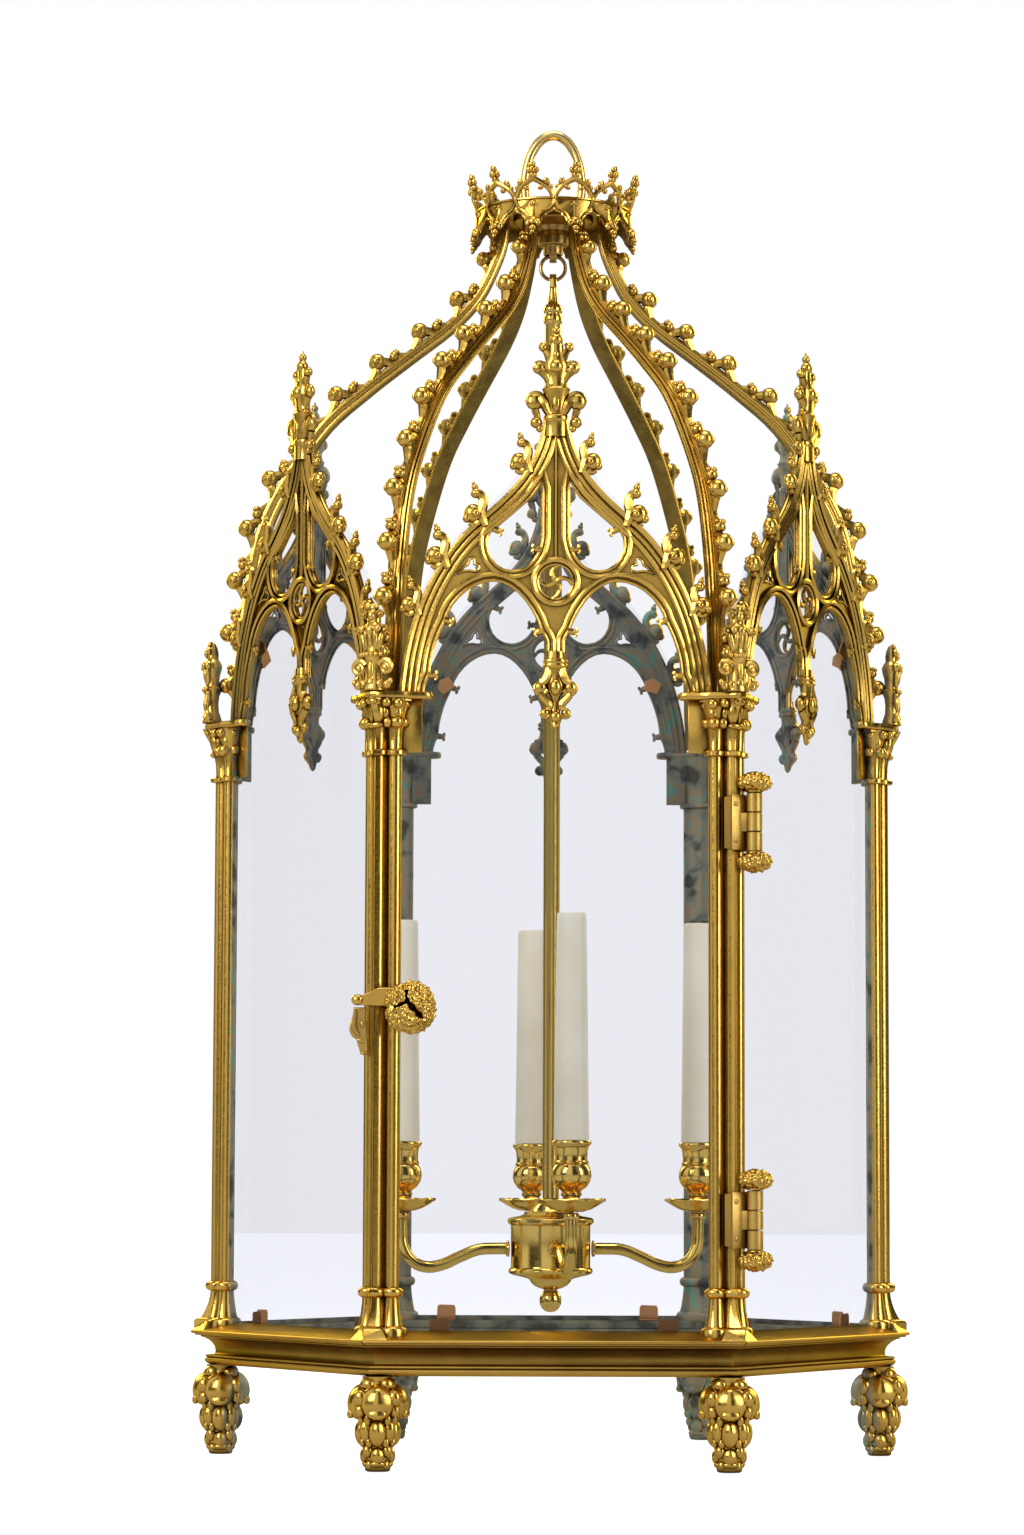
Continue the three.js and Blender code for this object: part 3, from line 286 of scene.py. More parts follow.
# painted shade: the near-black hollow colour, with a 20 mm occlusion reach, darkens the deep hollow of the moulding
base_brass = gilt_brass(
    "base_brass", (0.68, 0.41, 0.085), (0.06, 0.024, 0.003), roughness=0.32, reach=20,
    inner=((0.035, 0.05, 0.05), (0.13, 0.16, 0.135), (0.22, 0.23, 0.17)),
)

moulding_low = BASE_BOTTOM / MM
moulding = [(out, moulding_low + rise) for out, rise in (
    (-15, 0), (7.6, 0), (9.0, 0.6), (10.4, 1.8), (11.0, 3.0), (11.0, 4.4), (10.2, 4.9), (9.6, 5.0), (9.6, 5.5),
    (10.6, 5.8), (10.6, 7.0), (9.6, 7.4), (5.0, 7.6), (4.2, 8.6), (4.0, 10.6), (4.5, 13.2), (6.0, 15.8), (8.4, 18.2),
    (11.4, 20.0), (13.8, 20.6), (13.8, 21.5), (-15, 21.5),
)]
ledge_top = LEDGE_TOP / MM
ledge = [(out, ledge_top + rise) for out, rise in (
    (-15, -6.2), (17.0, -6.2), (17.8, -5.8), (17.8, -5.0), (19.6, -4.8), (20.3, -4.2), (20.3, -3.0), (19.7, -2.4),
    (18.8, -2.2), (18.2, -1.8), (5.0, 1.9), (-2.8, 3.7), (-3.9, 3.5), (-4.1, 0), (-15, 0),
)]


def hexagon_ring(profile):
    reach = 1 / math.cos(math.pi / SIDES)
    rings = [((APOTHEM / MM + out) * reach, height) for out, height in profile]
    return turned(rings, SIDES, closed=True, turn=180 / SIDES)


def in_front(point):
    """Whether a point lies on the front length, just inside its two mitres."""
    return abs(point.x) < -point.y * math.tan(math.pi / SIDES) * 0.995


LEDGE_OUT = 20.3
MITRE_GAP = 0.9
lower_ring = bevelled(hexagon_ring(moulding), 0.3)
fixed_ledge = bevelled(keep_sector(hexagon_ring(ledge), lambda point: not in_front(point)), 0.3)
base = joined([lower_ring, fixed_ledge])
base.data.transform(Matrix.Translation(AXIS))
dressed(base, "base_moulding", base_brass, "base_frame")

rail = keep_sector(hexagon_ring(ledge), in_front)
rail_width = 2 * (APOTHEM + LEDGE_OUT * MM) * math.tan(math.pi / SIDES)
rail.data.transform(Matrix.Scale(1 - 2 * MITRE_GAP * MM / rail_width, 4, (1, 0, 0)))
rail = bevelled(rail, 0.3)
rail.data.transform(Matrix.Translation(AXIS))
dressed(rail, "door_rail_moulding", base_brass, "door_rail", body="door")

# Feet: pendant leaf castings under the corners, which the lantern also stands on. Each is a turned
# core with three tiers of chased leaf lobes, cast in one piece with it, gilt all over, level below.


def ball_form(flutes=0, depth=0.16, rings=10):
    """A unit ball. With flutes, every second meridian is drawn in and the whole is smoothed."""
    bpy.ops.object.select_all(action="DESELECT")
    bpy.ops.mesh.primitive_uv_sphere_add(segments=2 * flutes or 16, ring_count=rings, radius=1)
    form = pick(bpy.context.object)
    if flutes:
        bpy.ops.object.mode_set(mode="EDIT")
        bpy.ops.mesh.select_mode(type="VERT")
        bpy.ops.mesh.select_all(action="DESELECT")
        bpy.ops.object.mode_set(mode="OBJECT")
        step = math.pi / flutes
        for vertex in form.data.vertices:
            index = round(math.atan2(vertex.co.y, vertex.co.x) / step)
            vertex.select = index % 2 == 1 and abs(vertex.co.z) < 0.98
        bpy.ops.object.mode_set(mode="EDIT")
        bpy.ops.transform.resize(value=(1 - depth, 1 - depth, 1), center_override=(0, 0, 0))
        bpy.ops.object.mode_set(mode="OBJECT")
        form.modifiers.new("smooth", "SUBSURF").levels = 1
        bpy.ops.object.modifier_apply(modifier="smooth")
    form.hide_render = True
    return form


def bare_curve(dimensions, bevel, resolution):
    """The data of a new curve object, with its thickness in millimetres and no line in it yet."""
    bpy.ops.object.select_all(action="DESELECT")
    bpy.ops.curve.primitive_bezier_curve_add()
    curve = pick(bpy.context.object).data
    curve.splines.clear()
    curve.dimensions = dimensions
    curve.bevel_depth = bevel * MM
    curve.bevel_resolution = resolution
    curve.use_fill_caps = dimensions == "3D"
    return curve


def smooth_tube(points, radii, turns=2, closed=False):
    """A round bar through points in millimetres, as thick at each point as its radius says."""
    curve = bare_curve("3D", 1, turns)
    curve.resolution_u = 4
    spline = curve.splines.new("BEZIER")
    spline.bezier_points.add(len(points) - 1)
    spline.use_cyclic_u = closed
    for knot, point, radius in zip(spline.bezier_points, points, radii):
        knot.co = Vector(point) * MM
        knot.radius = radius
        knot.handle_left_type = knot.handle_right_type = "AUTO"
    bpy.ops.object.convert(target="MESH")
    return bpy.context.object


def straight_lines(curve, lines, closed=True):
    """Fills a curve with lines of points in millimetres, and makes it a mesh."""
    for line in lines:
        spline = curve.splines.new("POLY")
        spline.points.add(len(line) - 1)
        spline.use_cyclic_u = closed
        for point, place in zip(spline.points, line):
            point.co = (*(value * MM for value in place), 1)
    bpy.ops.object.convert(target="MESH")
    return bpy.context.object


def scroll_form():
    """A unit volute in the XZ plane: a thick leaf wound inward round a ball in its eye."""
    turns = [math.radians(160 - 40 * i) for i in range(12)]
    reaches = [690 - 46 * i for i in range(12)]
    points = [(r * math.cos(a), 0, r * math.sin(a)) for a, r in zip(turns, reaches)]
    band = smooth_tube(points, [300 - 17 * i for i in range(12)])
    band.data.transform(Matrix.Scale(1.7, 4, (0, 1, 0)))
    parts = [band]
    for size, place in (((0.6, 0.34, 0.6), (0, 0.05, 0)), ((0.28, 0.3, 0.28), (0, -0.3, 0))):
        parts.append(copied(ball, Matrix.Translation(place) @ Matrix.Diagonal((*size, 1))))
    form = joined(parts)
    form.hide_render = True
    return form


ball = ball_form()
leaf = ball_form(flutes=6)
scroll = scroll_form()


def cluster(items):
    """Copies of the unit forms, each with its place, its half sizes and any turn in degrees."""
    parts = []
    for form, place, size, *turn in items:
        around_x, around_y, around_z = (spun(t, axis) for t, axis in zip(turn[0] if turn else (0, 0, 0), "XYZ"))
        stretch = Matrix.Diagonal((*(s * MM for s in size), 1))
        move = Matrix.Translation(Vector(place) * MM)
        parts.append(copied(form, move @ around_z @ around_y @ around_x @ stretch))
    return parts


def ring_of(radius, height, form, size, tilt=0, start=0):
    """The same leaf four times round an upright axis, tipped outward by the tilt."""
    items = []
    for i in range(4):
        angle = start + 360 * i / 4
        x, y = radius * math.cos(math.radians(angle)), radius * math.sin(math.radians(angle))
        items.append((form, (x, y, height), size, (0, tilt, angle)))
    return items


foot_core = [
    (8.0, 0), (9.2, 0.8), (9.6, 4.0), (9.0, 9), (9.2, 14), (10.2, 20), (11.4, 27), (11.2, 33),
    (13.5, 39), (16.6, 46), (16.0, 53), (13.4, 58), (11.6, 61), (11.2, 63), (11.6, 66.4),
]
foot_leaves = []
for row in (
    (12.2, 48.6, leaf, (11.2, 14.6, 13.0), -12, 0),
    (19.0, 41.0, leaf, (3.6, 8.2, 4.6), -30, 0),
    (16.8, 51.6, ball, (6.0, 5.6, 6.6), 0, 45),
    (17.6, 42.8, leaf, (4.4, 4.4, 4.6), 0, 45),
    (10.5, 60.5, ball, (5.0, 6.5, 5.6), 0, 45),
    (13.6, 36.2, ball, (2.8, 2.8, 4.6), 12, 32),
    (13.6, 36.2, ball, (2.8, 2.8, 4.6), 12, 58),
    (10.2, 27.2, leaf, (7.6, 7.6, 10.2), 4, 0),
    (11.6, 28.6, leaf, (5.6, 5.4, 8.4), 4, 45),
    (12.2, 20.4, ball, (2.6, 2.6, 3.6), 10, 30),
    (12.2, 20.4, ball, (2.6, 2.6, 3.6), 10, 60),
    (8.4, 11.4, leaf, (5.0, 6.0, 6.4), -6, 0),
    (9.8, 14.6, ball, (4.0, 4.0, 4.8), 0, 45),
    (8.2, 5.0, ball, (3.4, 6.0, 2.4), -24, 0),
    (8.4, 4.2, ball, (2.8, 3.2, 4.2), 0, 45),
):
    foot_leaves += ring_of(*row)
FOOT_HEIGHT = 66.6
foot_turns = {"front_left": 30, "front_right": -30}
foot_master = joined([turned(foot_core, 24), *cluster(foot_leaves)])
foot_master.data.transform(Matrix.Diagonal((0.97, 0.97, 1, 1)))
for vertex in foot_master.data.vertices:
    vertex.co.z = min(max(vertex.co.z, 0), FOOT_HEIGHT * MM)
for corner in CORNERS:
    foot = copied(foot_master, corner_matrix(corner) @ spun(foot_turns.get(corner, 0)))
    dressed(foot, f"foot_{corner}_casting", frame_brass, f"foot_{corner}", smooth=60)
removed(foot_master)

# Columns: a keeled middle shaft between two round ones on a flat back, cast in one length each with
# their plinths, rings, leaf capitals and winged abaci. The front two are split lengthwise: the
# fixed half stays with the frame and the other half is the door's stile.
COLUMN_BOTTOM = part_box("column_right")[0].z / MM
ABACUS_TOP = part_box("half_column_front_left")[1].z / MM
COLUMN_LENGTH = ABACUS_TOP - COLUMN_BOTTOM
CAPITAL_HEIGHT = 46
ABACUS_THICKNESS = 5.2
CAPITAL = COLUMN_LENGTH - CAPITAL_HEIGHT
ABACUS = COLUMN_LENGTH - ABACUS_THICKNESS
SEAM = 0.2
SECTION_POINTS = 48


def shifted(line, gap, closed=False):
    """A line moved sideways, to the left of the way it runs, by a gap in millimetres."""
    beside = []
    count = len(line)
    for i, here in enumerate(line):
        before = line[i - 1] if i or closed else here
        after = line[(i + 1) % count] if i < count - 1 or closed else here
        normals = []
        for a, b in ((before, here), (here, after)):
            run = Vector((b[0] - a[0], b[1] - a[1]))
            if run.length > 1e-6:
                normals.append(Vector((-run.y, run.x)).normalized())
        middle = sum(normals, Vector((0, 0))).normalized()
        reach = gap / max(0.6, middle.dot(normals[0]))
        beside.append((here[0] + middle.x * reach, here[1] + middle.y * reach))
    return beside


def sheet(outline, holes, low, high, ease=0.5):
    """A flat plate with holes, from one depth to the other, outward of the panel's middle plane."""
    curve = bare_curve("2D", ease, 1)
    curve.fill_mode = "BOTH"
    curve.extrude = ((high - low) / 2 - ease) * MM
    curve.offset = -ease * MM
    plate = straight_lines(curve, [[(x, z, 0) for x, z in line] for line in (outline, *holes)])
    plate.data.transform(moved(0, -(high + low) / 2, 0) @ spun(90, "X"))
    return plate


def level_sheet(outline, bottom, top, ease=0.4):
    """A level outline, x outward and y across, raised between two heights."""
    form = sheet(outline, [], -(top - bottom) / 2, (top - bottom) / 2, ease)
    form.data.transform(moved(0, 0, (top + bottom) / 2) @ spun(-90, "X"))
    return form


def column_section(keel, gap):
    """The outline of the cluster: keel, hollow, round flank and flat back, grown by a gap."""
    half = [(8.5 + keel, 0), (7.3 + 0.7 * keel, 1.5), (6.2 + 0.5 * keel, 2.7), (4.8 + 0.3 * keel, 3.5),
            (3.0, 3.9), (1.2, 4.1), (0.2, 4.6)]
    flank = [math.radians(a) for a in range(-50, 171, 20)]
    half += [(-2.8 + 5.2 * math.cos(a), 9.2 + 5.2 * math.sin(a)) for a in flank]
    half += [(-8.3, 8.6), (-8.4, 6.6), (-8.4, 4.8), (-8.4, 3.2), (-8.4, 1.6), (-8.4, 0)]
    grown = shifted(half + [(x, -y) for x, y in half[-2:0:-1]], -gap, closed=True)
    hollows = (*range(4, 10), *range(39, 45))
    for _ in range(4 if gap > 1 else 0):
        soft = list(grown)
        for i in hollows:
            soft[i] = tuple((a + b + 2 * c) / 4 for a, b, c in zip(grown[i - 1], grown[i + 1], grown[i]))
        grown = soft
    return grown


def clustered(levels):
    """A tube extruded level by level, whose every ring is pressed to the cluster's section."""
    form = turned([(10, height) for height, gap, keel in levels], SECTION_POINTS)
    sections = {round(height, 1): column_section(keel, gap) for height, gap, keel in levels}
    for vertex in form.data.vertices:
        place = round(math.atan2(vertex.co.y, vertex.co.x) / (2 * math.pi / SECTION_POINTS)) % SECTION_POINTS
        x, y = sections[round(vertex.co.z / MM, 1)][place]
        vertex.co.x, vertex.co.y = x * MM, y * MM
    return form


column_levels = [
    (-2.6, 5.6, 3.0), (4.0, 5.8, 3.0), (5.4, 5.2, 2.8), (6.2, 4.2, 2.6), (6.8, 3.0, 2.4), (9, 2.4, 2.0),
    (13, 1.6, 1.4), (18, 0.8, 0.7), (23, 0.3, 0.2), (26.6, 0.1, 0), (27.2, 1.6, 0), (28.2, 2.7, 0),
    (29.8, 3.2, 0), (31.2, 3.2, 0), (32.6, 2.7, 0), (33.6, 1.6, 0),
    (34.2, 0, 0), (CAPITAL, 0, 0), (CAPITAL + 0.3, 2.3, 0), (CAPITAL + 1.0, 3.0, 0),
    (CAPITAL + 3.4, 3.0, 0), (CAPITAL + 4.2, 2.3, 0), (CAPITAL + 4.6, 0, 0), (CAPITAL + 5.4, -0.3, 0),
    (CAPITAL + 14, 0, 0), (CAPITAL + 22, 0.9, 0.4), (CAPITAL + 30, 2.2, 1.2), (CAPITAL + 36, 3.8, 2.0),
    (CAPITAL + 41.5, 4.8, 2.6),
]


def block(low, high, ease=0.4):
    """A rectangular bar between two corners in millimetres, with eased edges."""
    low, high = Vector(low) * MM, Vector(high) * MM
    bpy.ops.object.select_all(action="DESELECT")
    bpy.ops.mesh.primitive_cube_add(size=1)
    form = pick(bpy.context.object)
    form.data.transform(Matrix.Translation((low + high) / 2) @ Matrix.Diagonal((*(high - low), 1)))
    return bevelled(form, ease)


def wing_point(along, out):
    """A point on the abacus, by its way along the next panel and out from that panel."""
    return (-0.5 * along + 0.866 * out, 0.866 * along + 0.5 * out)


wing = [wing_point(*spot) for spot in (
    (1, 13.4), (12, 13.2), (17, 11.4), (21, 9.4), (28, 8.9), (32.6, 8.2), (35.4, 6.0), (36.6, 2.6), (35.6, -0.8),
    (33.0, -3.2), (29, -4.0), (14, -4.1), (9.5, -7.4), (4.3, -7.5),
)]
abacus_line = [(17.2, 0), (16.2, 4.6)] + wing + [(x, -y) for x, y in wing[-2::-1]] + [(16.2, -4.6)]
abacus = level_sheet(abacus_line, ABACUS, COLUMN_LENGTH, 1.5)
under_wing = [wing_point(*spot) for spot in ((1, 11), (12, 10.6), (17, 8.4), (21, 5.6), (20, -3.6), (9, -6))]
under_line = [(15, 0), (14, 4.4)] + under_wing
under_line += [(x, -y) for x, y in under_line[:0:-1]]
toe_line = [(22.4, 0)] + [wing_point(*spot) for spot in ((-2, 19.4), (6.6, 19.4), (6.6, 8), (2, 4))]
toe = level_sheet(toe_line + [(x, -y) for x, y in toe_line[:0:-1]], -3.4, 4.2, 0.3)
# the toe narrows to its upper face, about a line 4 mm outward of the column's middle
for vertex in toe.data.vertices:
    if vertex.co.z > 0:
        vertex.co.x = 4 * MM + (vertex.co.x - 4 * MM) * 0.66
        vertex.co.y *= 0.62
column_parts = [clustered(column_levels), abacus, level_sheet(under_line, ABACUS - 1.8, ABACUS + 0.6, 0.5), toe]
for side in (-1, 1):
    side_plate = block((13, 1.2, CAPITAL + 3), (28.6, 3.8, ABACUS + 1), 0.5)
    column_parts.append(copied(side_plate, Matrix.Diagonal((1, side, 1, 1)) @ spun(120)))
    removed(side_plate)
capital_leaves = [
    (ball, (8.4, 0, CAPITAL + 31), (4.8, 6.2, 11.0), (0, 10, 0)),
    (ball, (10.0, 0, CAPITAL + 21.6), (3.0, 6.4, 2.4)),
    (leaf, (14.6, 0, CAPITAL + 38.4), (2.6, 5.0, 2.6)),
]
for side in (-1, 1):
    capital_leaves += [
        (ball, (1.6, side * 13.2, CAPITAL + 24.0), (4.8, 5.0, 4.8)),
        (ball, (-6.4, side * 13.6, CAPITAL + 24.4), (4.0, 4.2, 4.2)),
        (leaf, (6.2, side * 8.2, CAPITAL + 23.6), (3.6, 3.6, 4.0), (0, 0, side * 45)),
        (ball, (-0.2, side * 13.0, CAPITAL + 31.0), (3.8, 3.8, 7.0)),
        (ball, (3.6, side * 15.6, CAPITAL + 37.2), (3.8, 4.0, 3.7)),
        (ball, (9.4, side * 9.2, CAPITAL + 37.6), (3.4, 3.4, 3.4)),
        (ball, (-5.8, side * 15.4, CAPITAL + 37.4), (3.4, 3.6, 3.4)),
        (leaf, (6.0, side * 6.6, CAPITAL + 30.6), (2.8, 3.0, 5.0), (0, 8, 0)),
    ]
column_master = joined([*column_parts, *cluster(capital_leaves)])
column_master.data.transform(moved(0, 0, COLUMN_BOTTOM))


def half_of(piece, side):
    """The part of a column on one side of the door's seam, closed along the cut."""
    half = pick(copied(piece, Matrix()))
    bpy.ops.object.mode_set(mode="EDIT")
    bpy.ops.mesh.select_all(action="SELECT")
    bpy.ops.mesh.bisect(
        plane_co=(0, side * SEAM * MM, 0), plane_no=(0, side, 0), use_fill=True, clear_inner=True
    )
    bpy.ops.mesh.select_all(action="SELECT")
    bpy.ops.mesh.normals_make_consistent(inside=False)
    bpy.ops.object.mode_set(mode="OBJECT")
    return half


# Pinnacles: flat-backed leaf finials that stand on the abaci. Two scrolls, a fluted neck and two
# tiers of leaf balls are cast together. Those at the front are fixed to the door's stiles.
pinnacle_core = [
    (8.5, 0), (8.8, 1.6), (7.6, 5), (6.0, 9), (5.6, 15), (6.4, 21), (8.2, 24.4), (8.4, 26.4), (6.4, 28), (6.0, 31),
    (6.6, 36), (8.2, 41), (8.6, 44), (7.0, 47), (5.2, 49), (5.4, 53), (4.6, 57), (2.6, 61),
]
pinnacle_items = [
    (leaf, (5.0, 0, 5.4), (3.8, 4.2, 4.2)),
    (ball, (5.4, 0, 15.0), (2.6, 2.6, 7.0)),
    (ball, (5.6, 0, 36.0), (2.4, 2.4, 7.6), (0, 12, 0)),
    (leaf, (7.4, 0, 42.8), (3.2, 3.8, 3.4)),
    (ball, (4.8, 0, 53.6), (2.8, 2.8, 3.8)),
    (leaf, (1.5, 0, 59.4), (3.4, 3.8, 3.4)),
]
for place in (-7.8, -4.7, -1.6, 1.6, 4.7, 7.8):
    pinnacle_items.append((ball, (7.6 - 0.05 * place**2, place, 25.6), (1.9, 1.8, 1.8)))
for side in (-1, 1):
    pinnacle_items += [
        (scroll, (2.6, side * 11.0, 16.2), (side * 8.6, 4.6, 8.6), (0, 0, 90)),
        (leaf, (3.0, side * 6.4, 4.4), (3.6, 3.6, 3.6)),
        (leaf, (2.2, side * 12.0, 4.0), (3.4, 3.6, 3.2)),
        (ball, (2.4, side * 15.0, 6.2), (2.0, 2.0, 2.4)),
        (ball, (5.2, side * 3.8, 36.0), (2.2, 2.0, 8.0), (0, 12, 0)),
        (ball, (3.4, side * 6.6, 35.4), (2.4, 2.2, 8.0), (side * -14, 0, 0)),
        (scroll, (3.0, side * 10.6, 43.0), (side * 5.0, 5.4, 4.8), (0, 0, 90)),
        (ball, (7.0, side * 6.4, 43.8), (2.6, 2.8, 2.6)),
        (scroll, (3.0, side * 6.6, 54.6), (side * 4.4, 4.6, 4.2), (0, 0, 90)),
        (ball, (2.0, side * 3.4, 60.2), (2.0, 2.0, 2.0)),
    ]
pinnacle_master = joined([turned(pinnacle_core, 12), *cluster(pinnacle_items)])
pinnacle_master.data.transform(moved(11.8, 0, ABACUS_TOP) @ Matrix.Diagonal((0.86, 1, 1, 1)))
# its hollow colour is painted shade, put into the crevices by ambient occlusion
pinnacle_brass = gilt_brass(
    "pinnacle_brass", (0.90, 0.58, 0.13), (0.19, 0.09, 0.012), roughness=0.25, reach=6, inner=VERDIGRIS
)
for corner in CORNERS:
    pinnacle = copied(pinnacle_master, corner_matrix(corner))
    body = "door" if corner.startswith("front") else "lantern_frame"
    dressed(pinnacle, f"pinnacle_{corner}_casting", pinnacle_brass, body=body)

for corner in CORNERS:
    place = corner_matrix(corner)
    if not corner.startswith("front"):
        dressed(copied(column_master, place), f"column_{corner}_casting", frame_brass, f"column_{corner}")
        continue
    door_side = -1 if corner == "front_right" else 1
    for side, node, body in (
        (-door_side, f"half_column_{corner}", "lantern_frame"), (door_side, f"door_stile_{corner[6:]}", "door"),
    ):
        half = half_of(column_master, side)
        half.data.transform(place)
        dressed(half, f"{node}_casting", frame_brass, node, body=body)
removed(column_master, pinnacle_master)

# Tracery: six pierced ogee arches cast in brass, each with a pair of cusped lancets on a middle
# drop, two teardrops, a whorl in a round and rows of crockets. They stand on the abaci, chased
# and gilt in front and left green at the back, where bent copper tabs hold the glass.
ARCH_FOOT = ABACUS_TOP + 0.3
ACROSS, UP = 1.12, 2.0


def drawn(start, strokes, steps=9):
    """The points along strokes of one or two handles, in per cent of the arch's half width and height."""

    def place(point):
        return Vector((point[0] * ACROSS, ARCH_FOOT + point[1] * UP, 0))

    line, last = [place(start)], place(start)
    for stroke in strokes:
        knots = [place(point) for point in stroke]
        if len(knots) == 1:
            line.append(knots[0])
        elif len(knots) == 2:
            near = last.lerp(knots[0], 2 / 3)
            far = knots[1].lerp(knots[0], 2 / 3)
            line += interpolate_bezier(last, near, far, knots[1], steps)[1:]
        else:
            line += interpolate_bezier(last, *knots, steps)[1:]
        last = knots[-1]
    return [(p[0], p[1]) for p in line]


def mirrored(line):
    return [(-x, z) for x, z in reversed(line)]


def circle_line(x, z, radius, count=28):
    turns = [2 * math.pi * i / count for i in range(count)]
    return [(x + radius * math.cos(a), z + radius * math.sin(a)) for a in turns]


def roll(line, radius, out, closed=False, sides=1):
    """A round moulding along a line, with its middle at a depth outward of the middle plane."""
    return straight_lines(bare_curve("3D", radius, sides), [[(x, -out, z) for x, z in line]], closed)


def left_part(line):
    """The part of a line that lies left of the arch's middle, ended on it."""
    kept = []
    for (x, z), (next_x, next_z) in zip(line, line[1:] + line[-1:]):
        if x >= 0:
            break
        kept.append((x, z))
        if next_x >= 0 > x:
            share = -x / (next_x - x)
            kept.append((0, z + share * (next_z - z)))
            break
    return kept


# one half of the drawing, on the left; the other half is its mirror image
extrados_strokes = [[(-97.5, 19.5), (-86.5, 41.5), (-59, 58)], [(-39.5, 69), (-12.5, 76.5), (-8, 100)]]
extrados = drawn((-100, 0), extrados_strokes, 18)
lancet_strokes = [
    [(-83, 3.5), (-80.3, 6)], [(-79.5, 16), (-70.5, 25.5)], [(-67.5, 33), (-54, 40.2), (-39.7, 40.2)],
    [(-27, 40.2), (-14.5, 31.5), (-9.3, 22)], [(-7, 20.5), (-5.9, 18.5)], [(-5.7, 14), (-5.8, 11)],
]
lancet = drawn((-84, 0), lancet_strokes, 8)
teardrop_strokes = [
    [(-13, 71.6), (-17, 69.8)], [(-27, 64.8), (-38.6, 59.3)], [(-48, 57), (-44, 44.2), (-27.7, 44.2)],
    [(-19, 44.2), (-13.5, 48), (-11.2, 51.2)], [(-9.8, 53.5), (-9.2, 56)], [(-9.2, 66), (-9, 76.5)],
]
teardrop = drawn((-9, 76.5), teardrop_strokes, 9)[:-1]
spandrel_strokes = [
    [(-56.3, 49), (-56.3, 47.2), (-57, 46.6)], [(-60, 46), (-64.5, 42.2)], [(-60, 43.6), (-55.5, 43.6)],
    [(-51, 42.6), (-47.2, 43.6), (-48.2, 45.6)], [(-49.5, 47), (-51.6, 46.8)], [(-50.8, 49.4), (-54, 49.2)],
]
spandrel = drawn((-54, 49.2), spandrel_strokes, 4)[:-1]
ROUND_HIGH = ARCH_FOOT + 40 * UP
outline = extrados + mirrored(extrados) + [(-x, z) for x, z in lancet] + lancet[::-1]
whorl_hole = circle_line(0, ROUND_HIGH, 12.6)
plate = sheet(outline, [teardrop, mirrored(teardrop), spandrel, mirrored(spandrel), whorl_hole], -2.6, 0.2, 0.4)

# the mouldings that follow the drawing, in front and, thinner, behind
inner_line = left_part(shifted(extrados, -11.0))
lines = (
    (shifted(extrados, -2.0), 2.2, 2.4, False), (shifted(extrados, -6.6), 1.6, 1.8, False),
    (inner_line, 1.8, 1.6, False),
    (shifted(lancet, 1.1), 1.3, 0.9, False), (shifted(lancet, 5.0), 1.8, 1.7, False),
    (shifted(teardrop, -1.1, True), 1.3, 0.9, True), (shifted(teardrop, -4.9, True), 1.8, 1.7, True),
    (shifted(spandrel, 1.0, True), 0.9, 0.6, True),
)
BACK = -3.9
rolls = []
for line, radius, out, closed in lines:
    for way in (line, mirrored(line)):
        rolls.append(roll(way, radius, out, closed))
        rolls.append(roll(way, 0.75 * radius, BACK + 0.75 * radius, closed))
rolls.append(roll([(0, ROUND_HIGH + 17), inner_line[-1]], 1.5, 1.8))
for reach, radius, out in ((16.0, 2.1, 2.0), (13.0, 1.2, 0.8), (15.0, 1.6, -2.3)):
    rolls.append(roll(circle_line(0, ROUND_HIGH, reach), radius, out, closed=True))

# the whorl: four curved blades that meet in the middle of the round
for i in range(4):
    sweep = [(0.4, 30), (4.4, 34), (8.4, 16), (12.9, -12)]
    points = []
    for reach, turn in sweep:
        angle = math.radians(turn + 90 * i)
        points.append((reach * math.cos(angle), -0.6, ROUND_HIGH + reach * math.sin(angle)))
    rolls.append(smooth_tube(points, [1.7, 1.9, 1.6, 1.3]))

# cusps: small forked leaves on the points of the openings, each with its direction in degrees
cusp_places = [
    (-87.6, 565.0, -6), (-76.4, 604.0, -24), (-12.6, 596.4, 194),
    (-41.2, 669.6, -22), (-14.2, 656.4, 176),
]
for x, z, way in cusp_places:
    for side in (1, -1):
        angle = math.radians(way)
        ahead = Vector((math.cos(angle) * side, 0, math.sin(angle)))
        across = Vector((-ahead.z, 0, ahead.x))
        base = Vector((x * side, -0.6, z)) - ahead * 2.5
        rolls.append(smooth_tube([base - ahead * 1.5, base + ahead * 2, base + ahead * 4.2], [2.4, 2.4, 1.7]))
        for bend in (1, -1):
            tip = base + ahead * 4.6 + across * 3.4 * bend
            horn = [base + ahead * 3.0, base + ahead * 4.8 + across * 1.4 * bend, tip]
            rolls.append(smooth_tube(horn, [1.5, 1.3, 1.1]))

